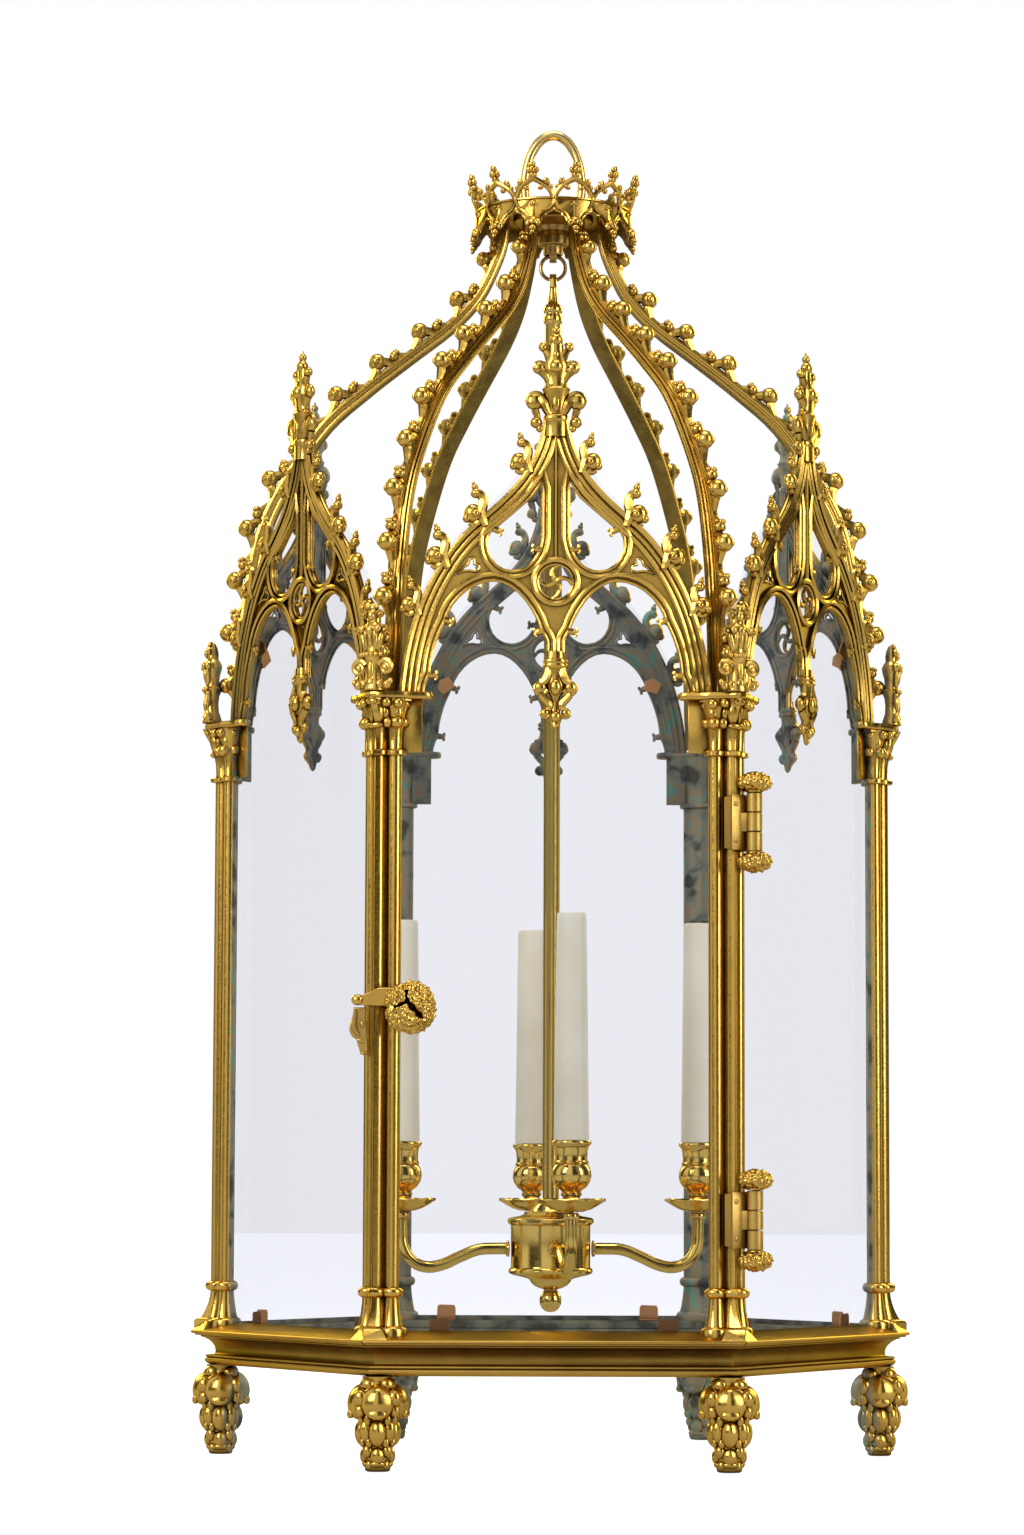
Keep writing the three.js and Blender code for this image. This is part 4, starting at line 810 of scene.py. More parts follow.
# crocket: a ball leaf that curls outward, with a thick bent neck behind it and a bud at its tip
crocket_master = joined([
    smooth_tube([(-9.0, 0, -9), (-7.0, 0, -4), (-5.8, 0, 1.5)], [2.8, 4.0, 4.0]),
    smooth_tube(
        [(-4.6, 0, 0), (-6.6, 0, 5), (-7.0, 0, 10), (-4.6, 0, 14.0), (-1.6, 0, 14.8)], [4.2, 3.8, 3.4, 3.2, 3.0]
    ),
    smooth_tube([(-4.0, 0, -6.4), (-0.6, 0, -8.2), (3.0, 0, -6.8)], [3.0, 2.6, 1.8]),
    *cluster([
        (ball, (0, 0.2, 0), (6.8, 5.2, 6.8)),
        (ball, (-1.6, -4.6, -0.6), (2.7, 2.2, 2.7)),
        (ball, (4.6, -0.6, -3.4), (3.0, 3.4, 3.6)),
        (ball, (-1.8, -0.2, 14.6), (3.8, 3.6, 3.7)),
        (ball, (-2.6, -3.0, 14.4), (1.5, 1.2, 1.5)),
        (ball, (-1.2, 0, 19.2), (2.5, 2.4, 2.2)),
        (ball, (-0.2, 0, 21.8), (1.4, 1.4, 1.4)),
    ]),
])
crocket_places = [(105.5, 616, 0.9), (86.5, 651.4, 1.0), (59.4, 682, 1.0), (26.5, 720, 0.92)]
for x, z, size in crocket_places:
    for side in (1, -1):
        place = moved(x * side, -1.8, z)
        rolls.append(copied(crocket_master, place @ Matrix.Diagonal((size * side, size, size, 1))))
removed(crocket_master)

# finial: a collar, three pairs of scrolls on curved straps, and a bud on a plain flaring stem
finial_stem = turned([
    (8.4, 738), (8, 748), (8.6, 749.6), (9, 750.2), (9, 752.6), (8.4, 753.2), (6, 754.5), (6.6, 760), (8, 766),
    (9.6, 771), (10.2, 772.6), (8.8, 773.6), (7.6, 777), (7.6, 781), (8.8, 785), (9.4, 789), (8.4, 793), (6.4, 797),
    (5.2, 801), (5.2, 804.5), (4.4, 808), (3, 812), (1.6, 817), (0.6, 820.5),
], 24)
finial_stem.data.transform(moved(0, -1.8, 0) @ Matrix.Diagonal((1, 0.66, 1, 1)))
finial_items = [
    (leaf, (0, -5.6, 762), (3.6, 3.2, 6.6)),
    (ball, (0, -6.0, 788.5), (5.3, 4.2, 5.0)),
    (ball, (0, -4.6, 797.5), (2.2, 2.2, 3.6)),
    (ball, (0, -2.4, 808.6), (4.9, 4.4, 4.6)),
    (ball, (0, -2.0, 815.4), (3.0, 3.0, 3.0)),
]
finial_parts = [finial_stem]
for side in (-1, 1):
    for strap, radii in (
        ([(4.5, -3, 753.5), (7, -3.4, 758), (9, -3.4, 762), (11.5, -2.8, 766)], [2.8, 3.4, 3.6, 3.2]),
        ([(5, -2.4, 778), (7.6, -2.6, 783.4), (10.8, -2.4, 785.6)], [2.8, 3.8, 3.4]),
        ([(5, -2.2, 792.5), (5.8, -2.4, 797), (7.8, -2.4, 800.6)], [2.8, 3.0, 2.6]),
        ([(13.0, -2, 749), (13.8, -2.2, 753.5), (15.2, -2.4, 757.5)], [2.2, 2.6, 3.0]),
    ):
        finial_parts.append(smooth_tube([(side * x, y, z) for x, y, z in strap], radii))
    finial_items += [
        (scroll, (side * 15.4, -2.6, 763.4), (side * 9.0, 4.6, 9.0)),
        (ball, (side * 15.4, -2.2, 763.4), (6.4, 3.8, 6.4)),
        (ball, (side * 14.3, -2.0, 748.2), (4.4, 4.2, 4.2)),
        (ball, (side * 11.6, -2.0, 743.8), (3.0, 3.0, 2.8)),
        (scroll, (side * 12.4, -2.4, 788.0), (side * 6.4, 4.4, 6.4)),
        (ball, (side * 12.4, -2.0, 788.0), (4.6, 3.6, 4.6)),
        (scroll, (side * 9.4, -2.2, 803), (side * 4.6, 4.0, 4.6)),
        (ball, (side * 9.4, -2.0, 803), (3.2, 3.2, 3.2)),
    ]

# drop: the middle post's end, with a collar, two pairs of scrolls on straps and a ball below
drop_stem = turned([
    (0.9, 526.6), (2.0, 530), (3.0, 534), (3.4, 540), (2.6, 545), (3.4, 549), (5.6, 553), (6.4, 558), (5.8, 562),
    (6.0, 566), (6.8, 569.6), (8.6, 570.6), (9.2, 572), (8.4, 573.4), (9.2, 574.8), (8.6, 576.2), (6.8, 577),
    (6.4, 582),
], 20)
drop_stem.data.transform(moved(0, -1.4, 0) @ Matrix.Diagonal((1, 0.66, 1, 1)))
drop_items = [
    (ball, (0, -5.2, 556), (4.2, 3.6, 6.0)),
    (ball, (0, -3.0, 535), (4.2, 3.8, 4.2)),
    (ball, (0, -1.4, 528.6), (1.7, 1.8, 2.6)),
]
drop_parts = [drop_stem]
for side in (-1, 1):
    for strap, radii in (
        ([(5.0, -2.6, 570), (5.4, -3.0, 565), (7.4, -3.0, 561), (10.4, -2.4, 559.6)], [2.6, 3.2, 3.4, 3.2]),
        ([(10.6, -2.4, 551), (7.4, -2.4, 547.4), (4.4, -2.2, 543.6), (5.2, -2.0, 539.6)], [2.8, 3.0, 3.0, 2.6]),
        ([(4.0, -1.8, 537), (2.0, -1.6, 531.6), (1.2, -1.4, 528)], [2.2, 2.0, 1.6]),
    ):
        drop_parts.append(smooth_tube([(side * x, y, z) for x, y, z in strap], radii))
    drop_items += [
        (scroll, (side * 10.6, -2.0, 556), (side * 7.4, 4.4, -7.4)),
        (ball, (side * 10.8, -1.6, 556), (5.0, 3.8, 5.0)),
        (scroll, (side * 7.6, -1.8, 537.8), (side * 5.2, 3.6, -5.2)),
        (ball, (side * 7.6, -1.6, 537.8), (3.6, 3.0, 3.6)),
    ]
arch_master = joined([plate, *rolls, *finial_parts, *cluster(finial_items), *drop_parts, *cluster(drop_items)])
# painted shade: a 14 mm occlusion reach darkens the hollows between the rolls towards the near-black shade colour
tracery_brass = gilt_brass("tracery_brass", GOLD, GOLD_PAINTED_SHADE, reach=14, inner=VERDIGRIS)
for panel in PANELS:
    arch, node = copied(arch_master, panel_matrix(panel)), f"tracery_{panel}"
    body = "door" if panel == "front" else "lantern_frame"
    dressed(arch, f"{node}_casting", tracery_brass, node, body=body, smooth=40)
removed(arch_master)

# Glass: one clear flat pane to a side, cut to the arch and laid against the back of its tracery.
# It is thin, old and very slightly grey, so that it shows mostly in its reflections.
pane, tree, shader = new_material("clear_pane")
tree.nodes.remove(shader)
waves = noise(tree, add(tree, "TexCoord", {}, "Object"), 9)
shine = add(tree, "BsdfGlossy", {
    "Roughness": 0.03, "Normal": add(tree, "Bump", {"Strength": 0.06, "Distance": 2 * MM, "Height": waves}),
})
front_face = reckoned(tree, "SUBTRACT", 1, add(tree, "NewGeometry", {}, "Backfacing"))
share = reckoned(tree, "MULTIPLY", add(tree, "Fresnel", {"IOR": 1.25}), front_face)
clear = add(tree, "BsdfTransparent", {"Color": (0.955, 0.957, 0.972)})
feed(tree.nodes["Material Output"], {"Surface": add(tree, "MixShader", {0: share, 1: clear, 2: shine})})
for panel in PANELS:
    glass = bpy.data.objects[f"glass_{panel}"]
    glass.data.materials.clear()
    glass.data.materials.append(pane)

# Copper tabs: little bent strips of soft copper sheet, soldered inside each frame, that keep the
# panes from falling in. Two stand at the foot of every pane and two lie on the arch's haunches.
# its hollow colour is painted shade, put into recesses by ambient occlusion
copper = gilt_brass("copper_tabs", (0.72, 0.37, 0.17), (0.20, 0.09, 0.035), roughness=0.4, reach=5, grain=0.5)
foot_outline = [(-7.6, 94.6), (7.6, 94.6), (7.2, 105.5), (5.6, 107), (-6.2, 106.6), (-7.4, 104.8)]
foot_tab = sheet(foot_outline, [], -8.7, -7.7, 0.3)
foot_flap = block((-7.4, 8.2, 94.9), (7.4, 13.6, 95.8), 0.3)
arch_tab = sheet([(-6.4, -4.6), (5.2, -6.0), (7.0, 0.6), (2.2, 5.8), (-5.6, 5.2)], [], -8.6, -7.6, 0.3)
tab_parts = []
for side in (-1, 1):
    for part in (foot_tab, foot_flap):
        tab_parts.append(copied(part, moved(side * 81, 0, 0)))
    tab_parts.append(copied(arch_tab, moved(side * 84, 0, 606) @ spun(side * 28, "Y")))
tab_master = joined(tab_parts)
for panel in PANELS:
    tabs = copied(tab_master, panel_matrix(panel))
    body = "door" if panel == "front" else "lantern_frame"
    dressed(tabs, f"glass_tabs_{panel}_sheet", copper, body=body, slot=None)
removed(foot_tab, foot_flap, arch_tab, tab_master)

# Roof ribs: six ogee bars cast in brass, from the columns up to the crown, with a moulded back and
# a row of curled leaf crockets. They are gilt outside and left a dull olive brown on the inside.
# its hollow colour is painted shade in the rib's grooves, by ambient occlusion, kept short in reach and yellowish
rib_brass = gilt_brass(
    "rib_brass", GOLD, (0.15, 0.07, 0.009), reach=6, inner=((0.12, 0.08, 0.012), (0.27, 0.185, 0.04)),
    inner_share=0.9,
)
RIB_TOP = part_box("rib_right")[1].z / MM


def smoothed(points, steps=4):
    """A smooth line through points, by strokes whose handles follow their neighbours."""
    spots = [Vector((x, z, 0)) for x, z in points]
    line = [points[0]]
    for i in range(len(spots) - 1):
        before, after = spots[max(i - 1, 0)], spots[min(i + 2, len(spots) - 1)]
        near = spots[i] + (spots[i + 1] - before) / 6
        far = spots[i + 1] - (after - spots[i]) / 6
        stroke = interpolate_bezier(spots[i], near, far, spots[i + 1], steps + 1)[1:]
        line += [(p[0], p[1]) for p in stroke]
    return line


rib_crest = smoothed([
    (242.6, 553.4), (242.2, 580), (240.0, 618), (235.2, 661), (224.9, 706), (206.0, 744),
    (177.8, 785), (146.4, 813), (113.5, 838.5), (81.2, 863), (60.5, 885), (47.6, 910), (41.4, 928), (40.6, 944),
])
rib_shares = [i / (len(rib_crest) - 1) for i in range(len(rib_crest))]
rib_depths = [(13.0 - 6.5 * share) * min(1, 0.7 + share * 4) for share in rib_shares]


def evenly(share):
    """The line inside the rib that lies at one share of its depth behind the crest."""
    line = []
    for (x, z), (in_x, in_z), depth in zip(rib_crest, shifted(rib_crest, 1.0), rib_depths):
        line.append((x + (in_x - x) * depth * share, z + (in_z - z) * depth * share))
    return line


web = sheet(evenly(0.1) + evenly(0.8)[::-1], [], -3.2, 3.2, 0.6)
shoulder = sheet(evenly(0.26) + evenly(0.7)[::-1], [], -4.8, 4.8, 1.2)
flange = sheet(evenly(0.62) + evenly(1.0)[::-1], [], -6.9, 6.9, 1.1)
rib_parts = [web, shoulder, flange, roll(evenly(0.14), 2.7, 0, sides=2)]
for side in (-1, 1):
    rib_parts.append(roll(evenly(0.58), 0.9, side * 5.4))
    rib_parts.append(roll(evenly(0.36), 1.1, side * 3.9))

# crocket, drawn with x outward and z up the slope of the crest
crocket_parts = [
    smooth_tube([(-2.5, 0, 9), (1.6, 0, 8.0), (5.0, 0, 5.0), (7.6, 0, 1)], [3.0, 3.4, 3.8, 3.8]),
    smooth_tube([(-2.2, 0, -15), (0.2, 0, -9.5), (3.0, 0, -4.6), (6.6, 0, -1.6)], [1.6, 2.8, 3.6, 3.2]),
    smooth_tube([(-2, 0, 24), (0.6, 0, 19), (3.2, 0, 15)], [1.8, 2.6, 3.2]),
]
crocket_items = [
    (ball, (8.4, 0, 0.6), (6.6, 6.3, 6.8)),
    (ball, (3.8, 0, 13.6), (4.2, 4.6, 4.0)),
    (ball, (6.6, 0, 16.8), (2.0, 2.2, 2.0)),
]
for side in (-1, 1):
    crocket_items += [
        (ball, (8.8, side * 5.6, 0.2), (2.5, 2.0, 2.5)),
        (ball, (4.8, side * 3.0, 17.6), (1.6, 1.7, 1.8)),
    ]
crocket_parts += cluster(crocket_items)
rib_crocket = joined(crocket_parts)
steps_along = [math.dist(a, b) for a, b in zip(rib_crest, rib_crest[1:])]
crest_total = sum(steps_along)
CROCKETS, FIRST_CROCKET, CREST_LEFT = 11, 27, 62
for i in range(CROCKETS):
    target, gone = FIRST_CROCKET + i * (crest_total - CREST_LEFT) / (CROCKETS - 1), 0.0
    for (x, z), (next_x, next_z), step in zip(rib_crest, rib_crest[1:], steps_along):
        if gone + step >= target:
            share = (target - gone) / step
            lean = math.atan2(x - next_x, next_z - z)
            spot = Vector(((x + share * (next_x - x)) * MM, 0, (z + share * (next_z - z)) * MM))
            break
        gone += step
    size = 1.0 if 0 < i < CROCKETS - 1 else 0.86
    turn = Matrix.Rotation(-lean, 4, "Y") @ Matrix.Scale(size, 4)
    rib_parts.append(copied(rib_crocket, Matrix.Translation(spot) @ turn))
rib_master = joined(rib_parts)
for corner, heading in CORNERS.items():
    rib = copied(rib_master, Matrix.Translation(AXIS) @ spun(heading))
    dressed(rib, f"rib_{corner}_casting", rib_brass, f"rib_{corner}", smooth=40)
removed(rib_crocket, rib_master)

# Crown: a cast brass band of twelve little cusped ogee arches. Buds hang between the arches, leaf
# branches cross above them and carry finials, and a floor closes the band and bears the loop.
CROWN_RADIUS = 57.5
CROWN_BAYS = 12
CROWN_RIM = RIB_TOP + 5.4
half_bay = math.pi * CROWN_RADIUS / CROWN_BAYS
bay_arch = smoothed([(-11.8, -19.2), (-10.2, -14.6), (-7.4, -11.4), (-3.6, -8.6), (-1.2, -5.2), (0, -1.8)], 3)
inner_arch = smoothed([(-9.6, -19.2), (-8.4, -16.2), (-6.4, -14.4), (-6.0, -12.8), (-3.2, -11.8), (0, -9.7)], 3)
top_line = [(-half_bay + 2 * half_bay * i / 12, 0) for i in range(13)]
whole_inner = inner_arch + mirrored(inner_arch)[1:]
BAND_FOOT = -20.4
bay_outline = [(-half_bay, BAND_FOOT), *top_line, (half_bay, BAND_FOOT), (9.6, BAND_FOOT)]
bay_outline += [*whole_inner[::-1], (-9.6, BAND_FOOT)]
bay_parts = [sheet(bay_outline, [], -1.2, 0.6, 0.2)]
for line in (bay_arch, mirrored(bay_arch)):
    bay_parts.append(roll(line, 1.35, 1.2))
bay_parts.append(roll(whole_inner, 1.0, 0.8))
bay_items = [(leaf, (0, -1.4, -0.6), (2.2, 1.9, 2.4))]
for side in (-1, 1):
    branch = [(0, -0.6, -1), (side * 3.0, -1.0, 4.6), (side * 8.0, -1.2, 9.2), (side * half_bay, -1.6, 13.4)]
    bay_parts.append(smooth_tube(branch, [2.3, 2.0, 1.9, 2.2]))
    bay_items += [
        (leaf, (side * 5.4, -1.5, 11.0), (2.5, 2.3, 3.0), (0, side * 30, 0)),
        (ball, (side * 9.6, -1.5, 6.6), (2.5, 2.0, 1.8), (0, side * 30, 0)),
        (ball, (side * 2.4, -1.2, 7.2), (1.7, 1.6, 1.9)),
    ]
edge = -half_bay
bay_parts.append(smooth_tube([(edge, -1.3, -16), (edge, -1.5, -10), (edge, -1.3, -5)], [1.2, 0.9, 0.7]))
bay_items += [
    (leaf, (edge, -1.5, -4.6), (1.6, 1.4, 1.9)),
    (ball, (edge - 1.9, -1.5, -6.2), (1.2, 1.1, 1.0)),
    (ball, (edge + 1.9, -1.5, -6.2), (1.2, 1.1, 1.0)),
    (leaf, (edge, -1.8, -19.0), (3.9, 3.8, 3.6)),
    (leaf, (edge - 3.6, -1.4, -20.4), (2.9, 3.0, 3.0)),
    (leaf, (edge + 3.6, -1.4, -20.4), (2.9, 3.0, 3.0)),
    (ball, (edge, -1.6, -24.6), (2.8, 2.8, 2.4)),
    (ball, (edge, -1.6, -27.4), (1.6, 1.6, 1.9)),
    (leaf, (edge, -1.6, 15.6), (3.4, 3.2, 3.0)),
    (leaf, (edge - 2.5, -1.8, 19.4), (2.5, 2.4, 2.6)),
    (leaf, (edge + 2.5, -1.8, 19.4), (2.5, 2.4, 2.6)),
    (ball, (edge, -4.2, 19.0), (2.4, 2.2, 2.6)),
    (leaf, (edge, -1.8, 23.2), (2.9, 2.8, 2.9)),
]
bay = joined([*bay_parts, *cluster(bay_items)])
for vertex in bay.data.vertices:
    lean = 0.25 * max(vertex.co.z, 0) + 0.3 * max(-10 * MM - vertex.co.z, 0)
    angle, reach = vertex.co.x / (CROWN_RADIUS * MM), CROWN_RADIUS * MM - vertex.co.y + lean
    vertex.co = (reach * math.cos(angle), reach * math.sin(angle), vertex.co.z + CROWN_RIM * MM)
crown_parts = []
for i in range(CROWN_BAYS):
    crown_parts.append(copied(bay, Matrix.Rotation(2 * math.pi * i / CROWN_BAYS - math.pi / 2, 4, "Z")))
removed(bay)
rim = [
    (55.6, CROWN_RIM - 2.2), (58.6, CROWN_RIM - 2.2), (59.6, CROWN_RIM - 1.4), (59.6, CROWN_RIM - 0.6),
    (58.6, CROWN_RIM), (55.6, CROWN_RIM),
]
floor_rings = [(4, RIB_TOP + 0.3), (56.4, RIB_TOP + 0.3), (56.4, RIB_TOP + 4.3), (4, RIB_TOP + 4.3)]
crown_parts.append(turned(rim, 72, closed=True))
crown_parts.append(turned(floor_rings, 72))
crown = joined(crown_parts)
crown.data.transform(Matrix.Translation(AXIS))
dressed(crown, "crown_casting", rib_brass, "crown", smooth=40)

# Hub: a turned brass plate and boss under the crown's floor, which the ribs' tops are screwed to.
# A lug with an eye is left standing below it for the ring of the light.
RING_MIDDLE = (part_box("hanging_ring")[0].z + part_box("hanging_ring")[1].z) / 2 / MM
EYE_RISE = 10


def eye_plate(height, radius, hole, half, stem_rise):
    """A lug or eye: a plate across the ring, round at one end and with a hole."""
    turns = [math.pi * i / 14 for i in range(15)]
    sign = 1 if stem_rise < 0 else -1
    rounded_end = [(radius * math.cos(a), height + sign * radius * math.sin(a)) for a in turns]
    outline = rounded_end + [(-radius, height + stem_rise), (radius, height + stem_rise)]
    plate = sheet(outline, [circle_line(0, height, hole, 20)], -half, half, 0.5)
    plate.data.transform(spun(90))
    return plate


hub_rings = [
    (3, 916.4), (6.8, 916.4), (7.5, 917.2), (7.5, 922.4), (8.2, 923.6), (11.4, 923.8), (12.2, 924.6), (12.2, 930.6),
    (11.4, 931.6), (11.0, 935), (13, 938.6), (24, 941), (30, 941.4), (30.8, 942), (30.8, RIB_TOP), (3, RIB_TOP),
]
lug = eye_plate(RING_MIDDLE + EYE_RISE, 5.9, 2.5, 2.8, 6)
hub = joined([turned(hub_rings, 48), lug])
# its hollow colour is painted shade, put into recesses by ambient occlusion
hub_brass = gilt_brass("hub_brass", (0.60, 0.38, 0.11), (0.10, 0.045, 0.01), roughness=0.3, grain=0.12)
hub.data.transform(Matrix.Translation(AXIS))
dressed(hub, "hub_turning", hub_brass, "crown_hub")

# Loop: a round brass rod bent to a tall bow. Its two ends are riveted through the crown's floor,
# each under a small turned collar.
loop_top = loop_high.z / MM
loop_reach = (loop_high.x - loop_low.x) / 2 / MM - 3.8
loop_foot = loop_low.z / MM
bow = [(loop_reach - 1.6, 0, loop_foot)]
for turn in (-24, -6, 12, 30, 48, 68, 90, 112, 132, 150, 168, 186, 204):
    angle = math.radians(turn)
    bow.append((22 * math.cos(angle), 0, loop_top - 43.75 + 40 * math.sin(angle)))
bow.append((1.6 - loop_reach, 0, loop_foot))
bow_rod = smooth_tube(bow, [3.75] * len(bow), turns=6)
for vertex in bow_rod.data.vertices:
    vertex.co.z = min(max(vertex.co.z, loop_foot * MM), loop_top * MM)
collar_rings = [(3.9, 0), (5.6, 0), (5.8, 1), (5.0, 2.6), (3.9, 3)]
collars = []
for side in (-1, 1):
    collar = turned([(radius, loop_foot + rise) for radius, rise in collar_rings], 24)
    collar.data.transform(moved(side * (loop_reach - 1.4), 0, 0))
    collars.append(collar)
loop = joined([bow_rod, *collars])
loop.data.transform(Matrix.Translation(AXIS))
# its hollow colour is painted shade, put into recesses by ambient occlusion
loop_brass = gilt_brass("loop_brass", (0.92, 0.67, 0.25), (0.32, 0.17, 0.05), roughness=0.22, grain=0.1)
dressed(loop, "loop_rod", loop_brass, "top_loop")

# Hanging ring: a brass wire bent round and closed with a brazed joint, gone brown with handling.
BRAZED = 3
ring_points = [(x, 0, z) for x, z in circle_line(0, RING_MIDDLE, 9.5, 20)]
ring = smooth_tube(ring_points, [1.55 if i == BRAZED else 1.43 for i in range(20)], turns=3, closed=True)
ring.data.transform(Matrix.Translation(AXIS))
# its hollow colour is painted shade, put into recesses by ambient occlusion
ring_brass = gilt_brass("ring_brass", (0.60, 0.38, 0.11), (0.14, 0.06, 0.015), roughness=0.24, grain=0.12)
dressed(ring, "hanging_ring_wire", ring_brass, "hanging_ring", body="ring", slot="dark_brass")

# Stem: a brass tube with a turned double knop and, above it, a slim neck that is flattened and
# drilled to an eye for the ring. The light's wires run down inside it.
stem_rings = [
    (6.2, 191.3), (6.2, 862.4), (6.5, 863), (7.2, 864.4), (7.5, 866.4), (7.2, 868.6), (6.1, 870.2), (6.1, 870.8),
    (7.0, 871.8), (7.5, 873.6), (7.2, 875.4), (6.2, 876.8), (5.2, 877.6), (4.4, 880), (3.6, 884), (2.9, 888.5),
    (2.6, 893),
]
stem_eye = eye_plate(RING_MIDDLE - EYE_RISE, 5.2, 2.5, 2.6, -5.6)
stem = joined([turned(stem_rings, 40), stem_eye])
stem.data.transform(Matrix.Translation(AXIS))
# its hollow colour is painted shade, put into recesses by ambient occlusion
light_brass = gilt_brass("light_brass", (0.95, 0.66, 0.16), (0.34, 0.17, 0.03), roughness=0.12, reach=12, grain=0.03)
dressed(stem, "stem_tube", light_brass, "stem", body="pendant_light")

# Body of the light: a spun brass drum with rolled rims, a domed lid and a cone below that ends in
# a turned ball. The four arms are screwed into its wall.
body_rings = [
    (5, 190.9), (8.2, 190.9), (9.6, 190.0), (9.9, 188.2), (12.5, 186.4), (15, 183.2), (19, 180.2), (24, 178.4),
    (28, 177.8), (31.0, 177.2), (32.6, 175.8), (32.6, 173.6), (31.2, 172.2), (30.2, 171.4), (30.0, 170.2),
    (30.0, 140.6), (30.2, 139.6),
    (31.4, 138.8), (32.0, 137.4), (31.4, 135.6), (29, 134.4), (24, 133.2), (18, 131.8), (15.8, 130.6), (14.9, 128.8),
    (12.4, 126.2), (8.6, 124.4), (5.2, 123.4), (4.9, 122.6), (6.6, 120.8), (8.1, 117.6), (8.3, 115), (7.8, 112),
    (6.4, 109.2), (4.2, 107.2), (1.6, 106.4),
]
light_body = turned(body_rings[::-1], 56)
light_body.data.transform(Matrix.Translation(AXIS))
dressed(light_body, "light_body_spinning", light_brass, "light_body", body="pendant_light", slot="pale_brass")

# Arms, drip pans, cups and candle sleeves, four of each. The arms are bent brass tube; each pan is
# spun, its cup is turned, and a lampholder stands in the ivory sleeve on top of the cup.
ARM_REACH = 113
ARM_TURN = 7
arm_path = [
    (31.9, 154), (42, 154), (55, 153.2), (70, 147.4), (84, 141.4), (96, 140.4), (106, 145.6), (112, 156),
    (113, 168), (113, 181.4),
]
arm_tube = smooth_tube([(x, 0, z) for x, z in arm_path], [4.4] * len(arm_path), turns=4)
arm_collar = turned([(4.2, 0), (6.0, 0), (6.2, 0.8), (5.6, 1.8), (4.4, 2.2)], 24)
arm_collar.data.transform(moved(31.8, 0, 154) @ spun(90, "Y"))
arm_nut = turned([(4.2, 176.4), (5.6, 176.8), (5.9, 178), (5.9, 180.4), (5.2, 181.4)], 24)
arm_nut.data.transform(moved(ARM_REACH, 0, 0))
arm_master = joined([arm_tube, arm_collar, arm_nut])
holder_rings = [
    (5.2, 182), (9, 182.2), (15, 184.0), (20.4, 187.0), (24.6, 190.0), (25.4, 190.2), (25.5, 191.0), (24.8, 191.7),
    (20.2, 189.2), (15, 186.4), (9.4, 185.0), (6.6, 185.4), (6.1, 187), (6.0, 192.4), (6.6, 193.4), (7.7, 194.2),
    (7.7, 195.4), (6.9, 196.2), (7.6, 197.6), (11.0, 200), (13.6, 203.6), (14.75, 208), (14.4, 212), (13.2, 215.2),
    (12.0, 216.6), (12.7, 217.4), (12.7, 218.6), (11.9, 219.4), (11.7, 222.4), (12.0, 227), (12.8, 229.6),
    (14.1, 231), (14.75, 232), (14.75, 233.2), (14.2, 234), (7.4, 234), (7.4, 392), (5.6, 392), (5.6, 366.4),
]
holder_master = turned(holder_rings, 40)
PAN_RIM = 23
for vertex in holder_master.data.vertices:
    reach, angle = math.hypot(vertex.co.x, vertex.co.y) / MM, math.atan2(vertex.co.y, vertex.co.x)
    if reach > PAN_RIM:
        vertex.co.z += 0.5 * MM * math.cos(10 * angle)
sleeve_rings = [
    (11.2, 234.4), (13, 234.4), (13, 236), (12.3, 285), (11.8, 330), (11.4, 370), (11.1, 394), (10.95, 399.2),
    (10.6, 400.8), (9.9, 401.2), (9.3, 400.6), (9.2, 397),
]
sleeve_master = turned(sleeve_rings, 40, closed=True)
ivory, tree, shader = new_material("ivory_sleeve")
place = add(tree, "TexCoord", {}, "Object")
bump = add(tree, "Bump", {"Strength": 0.08, "Distance": 0.2 * MM, "Height": noise(tree, place, 300)})
feed(shader, {
    "Base Color": toned(tree, noise(tree, place, 24, 5), [(0.35, (0.90, 0.82, 0.61)), (0.68, (0.97, 0.90, 0.72))]),
    "Roughness": 0.42, "Subsurface Weight": 0.18, "Subsurface Radius": (0.006, 0.004, 0.002), "Normal": bump,
})
for number in range(1, 5):
    turn = Matrix.Translation(AXIS) @ spun(ARM_TURN - 180 + 90 * number)
    stand = turn @ moved(ARM_REACH, 0, 0)
    for master, place, node, making, material, slot in (
        (arm_master, turn, f"arm_{number}", "tube", light_brass, "pale_brass"),
        (holder_master, stand, f"candle_holder_{number}", "turning", light_brass, "pale_brass"),
        (sleeve_master, stand, f"candle_sleeve_{number}", "tube", ivory, "ivory"),
    ):
        dressed(copied(master, place), f"{node}_{making}", material, node, body="pendant_light", slot=slot)
removed(arm_master, holder_master, sleeve_master)

# Hinges: two brass butts on the front right column. Each has a leaf screwed to the door's stile
# and one to the fixed shaft, three knuckles, and a turned pin that ends in chased leaf knobs.
HINGE_OUT, HINGE_ACROSS = 20, 9
BARREL, KNUCKLE = 5.7, 14
hinge_place = corner_matrix("front_right")


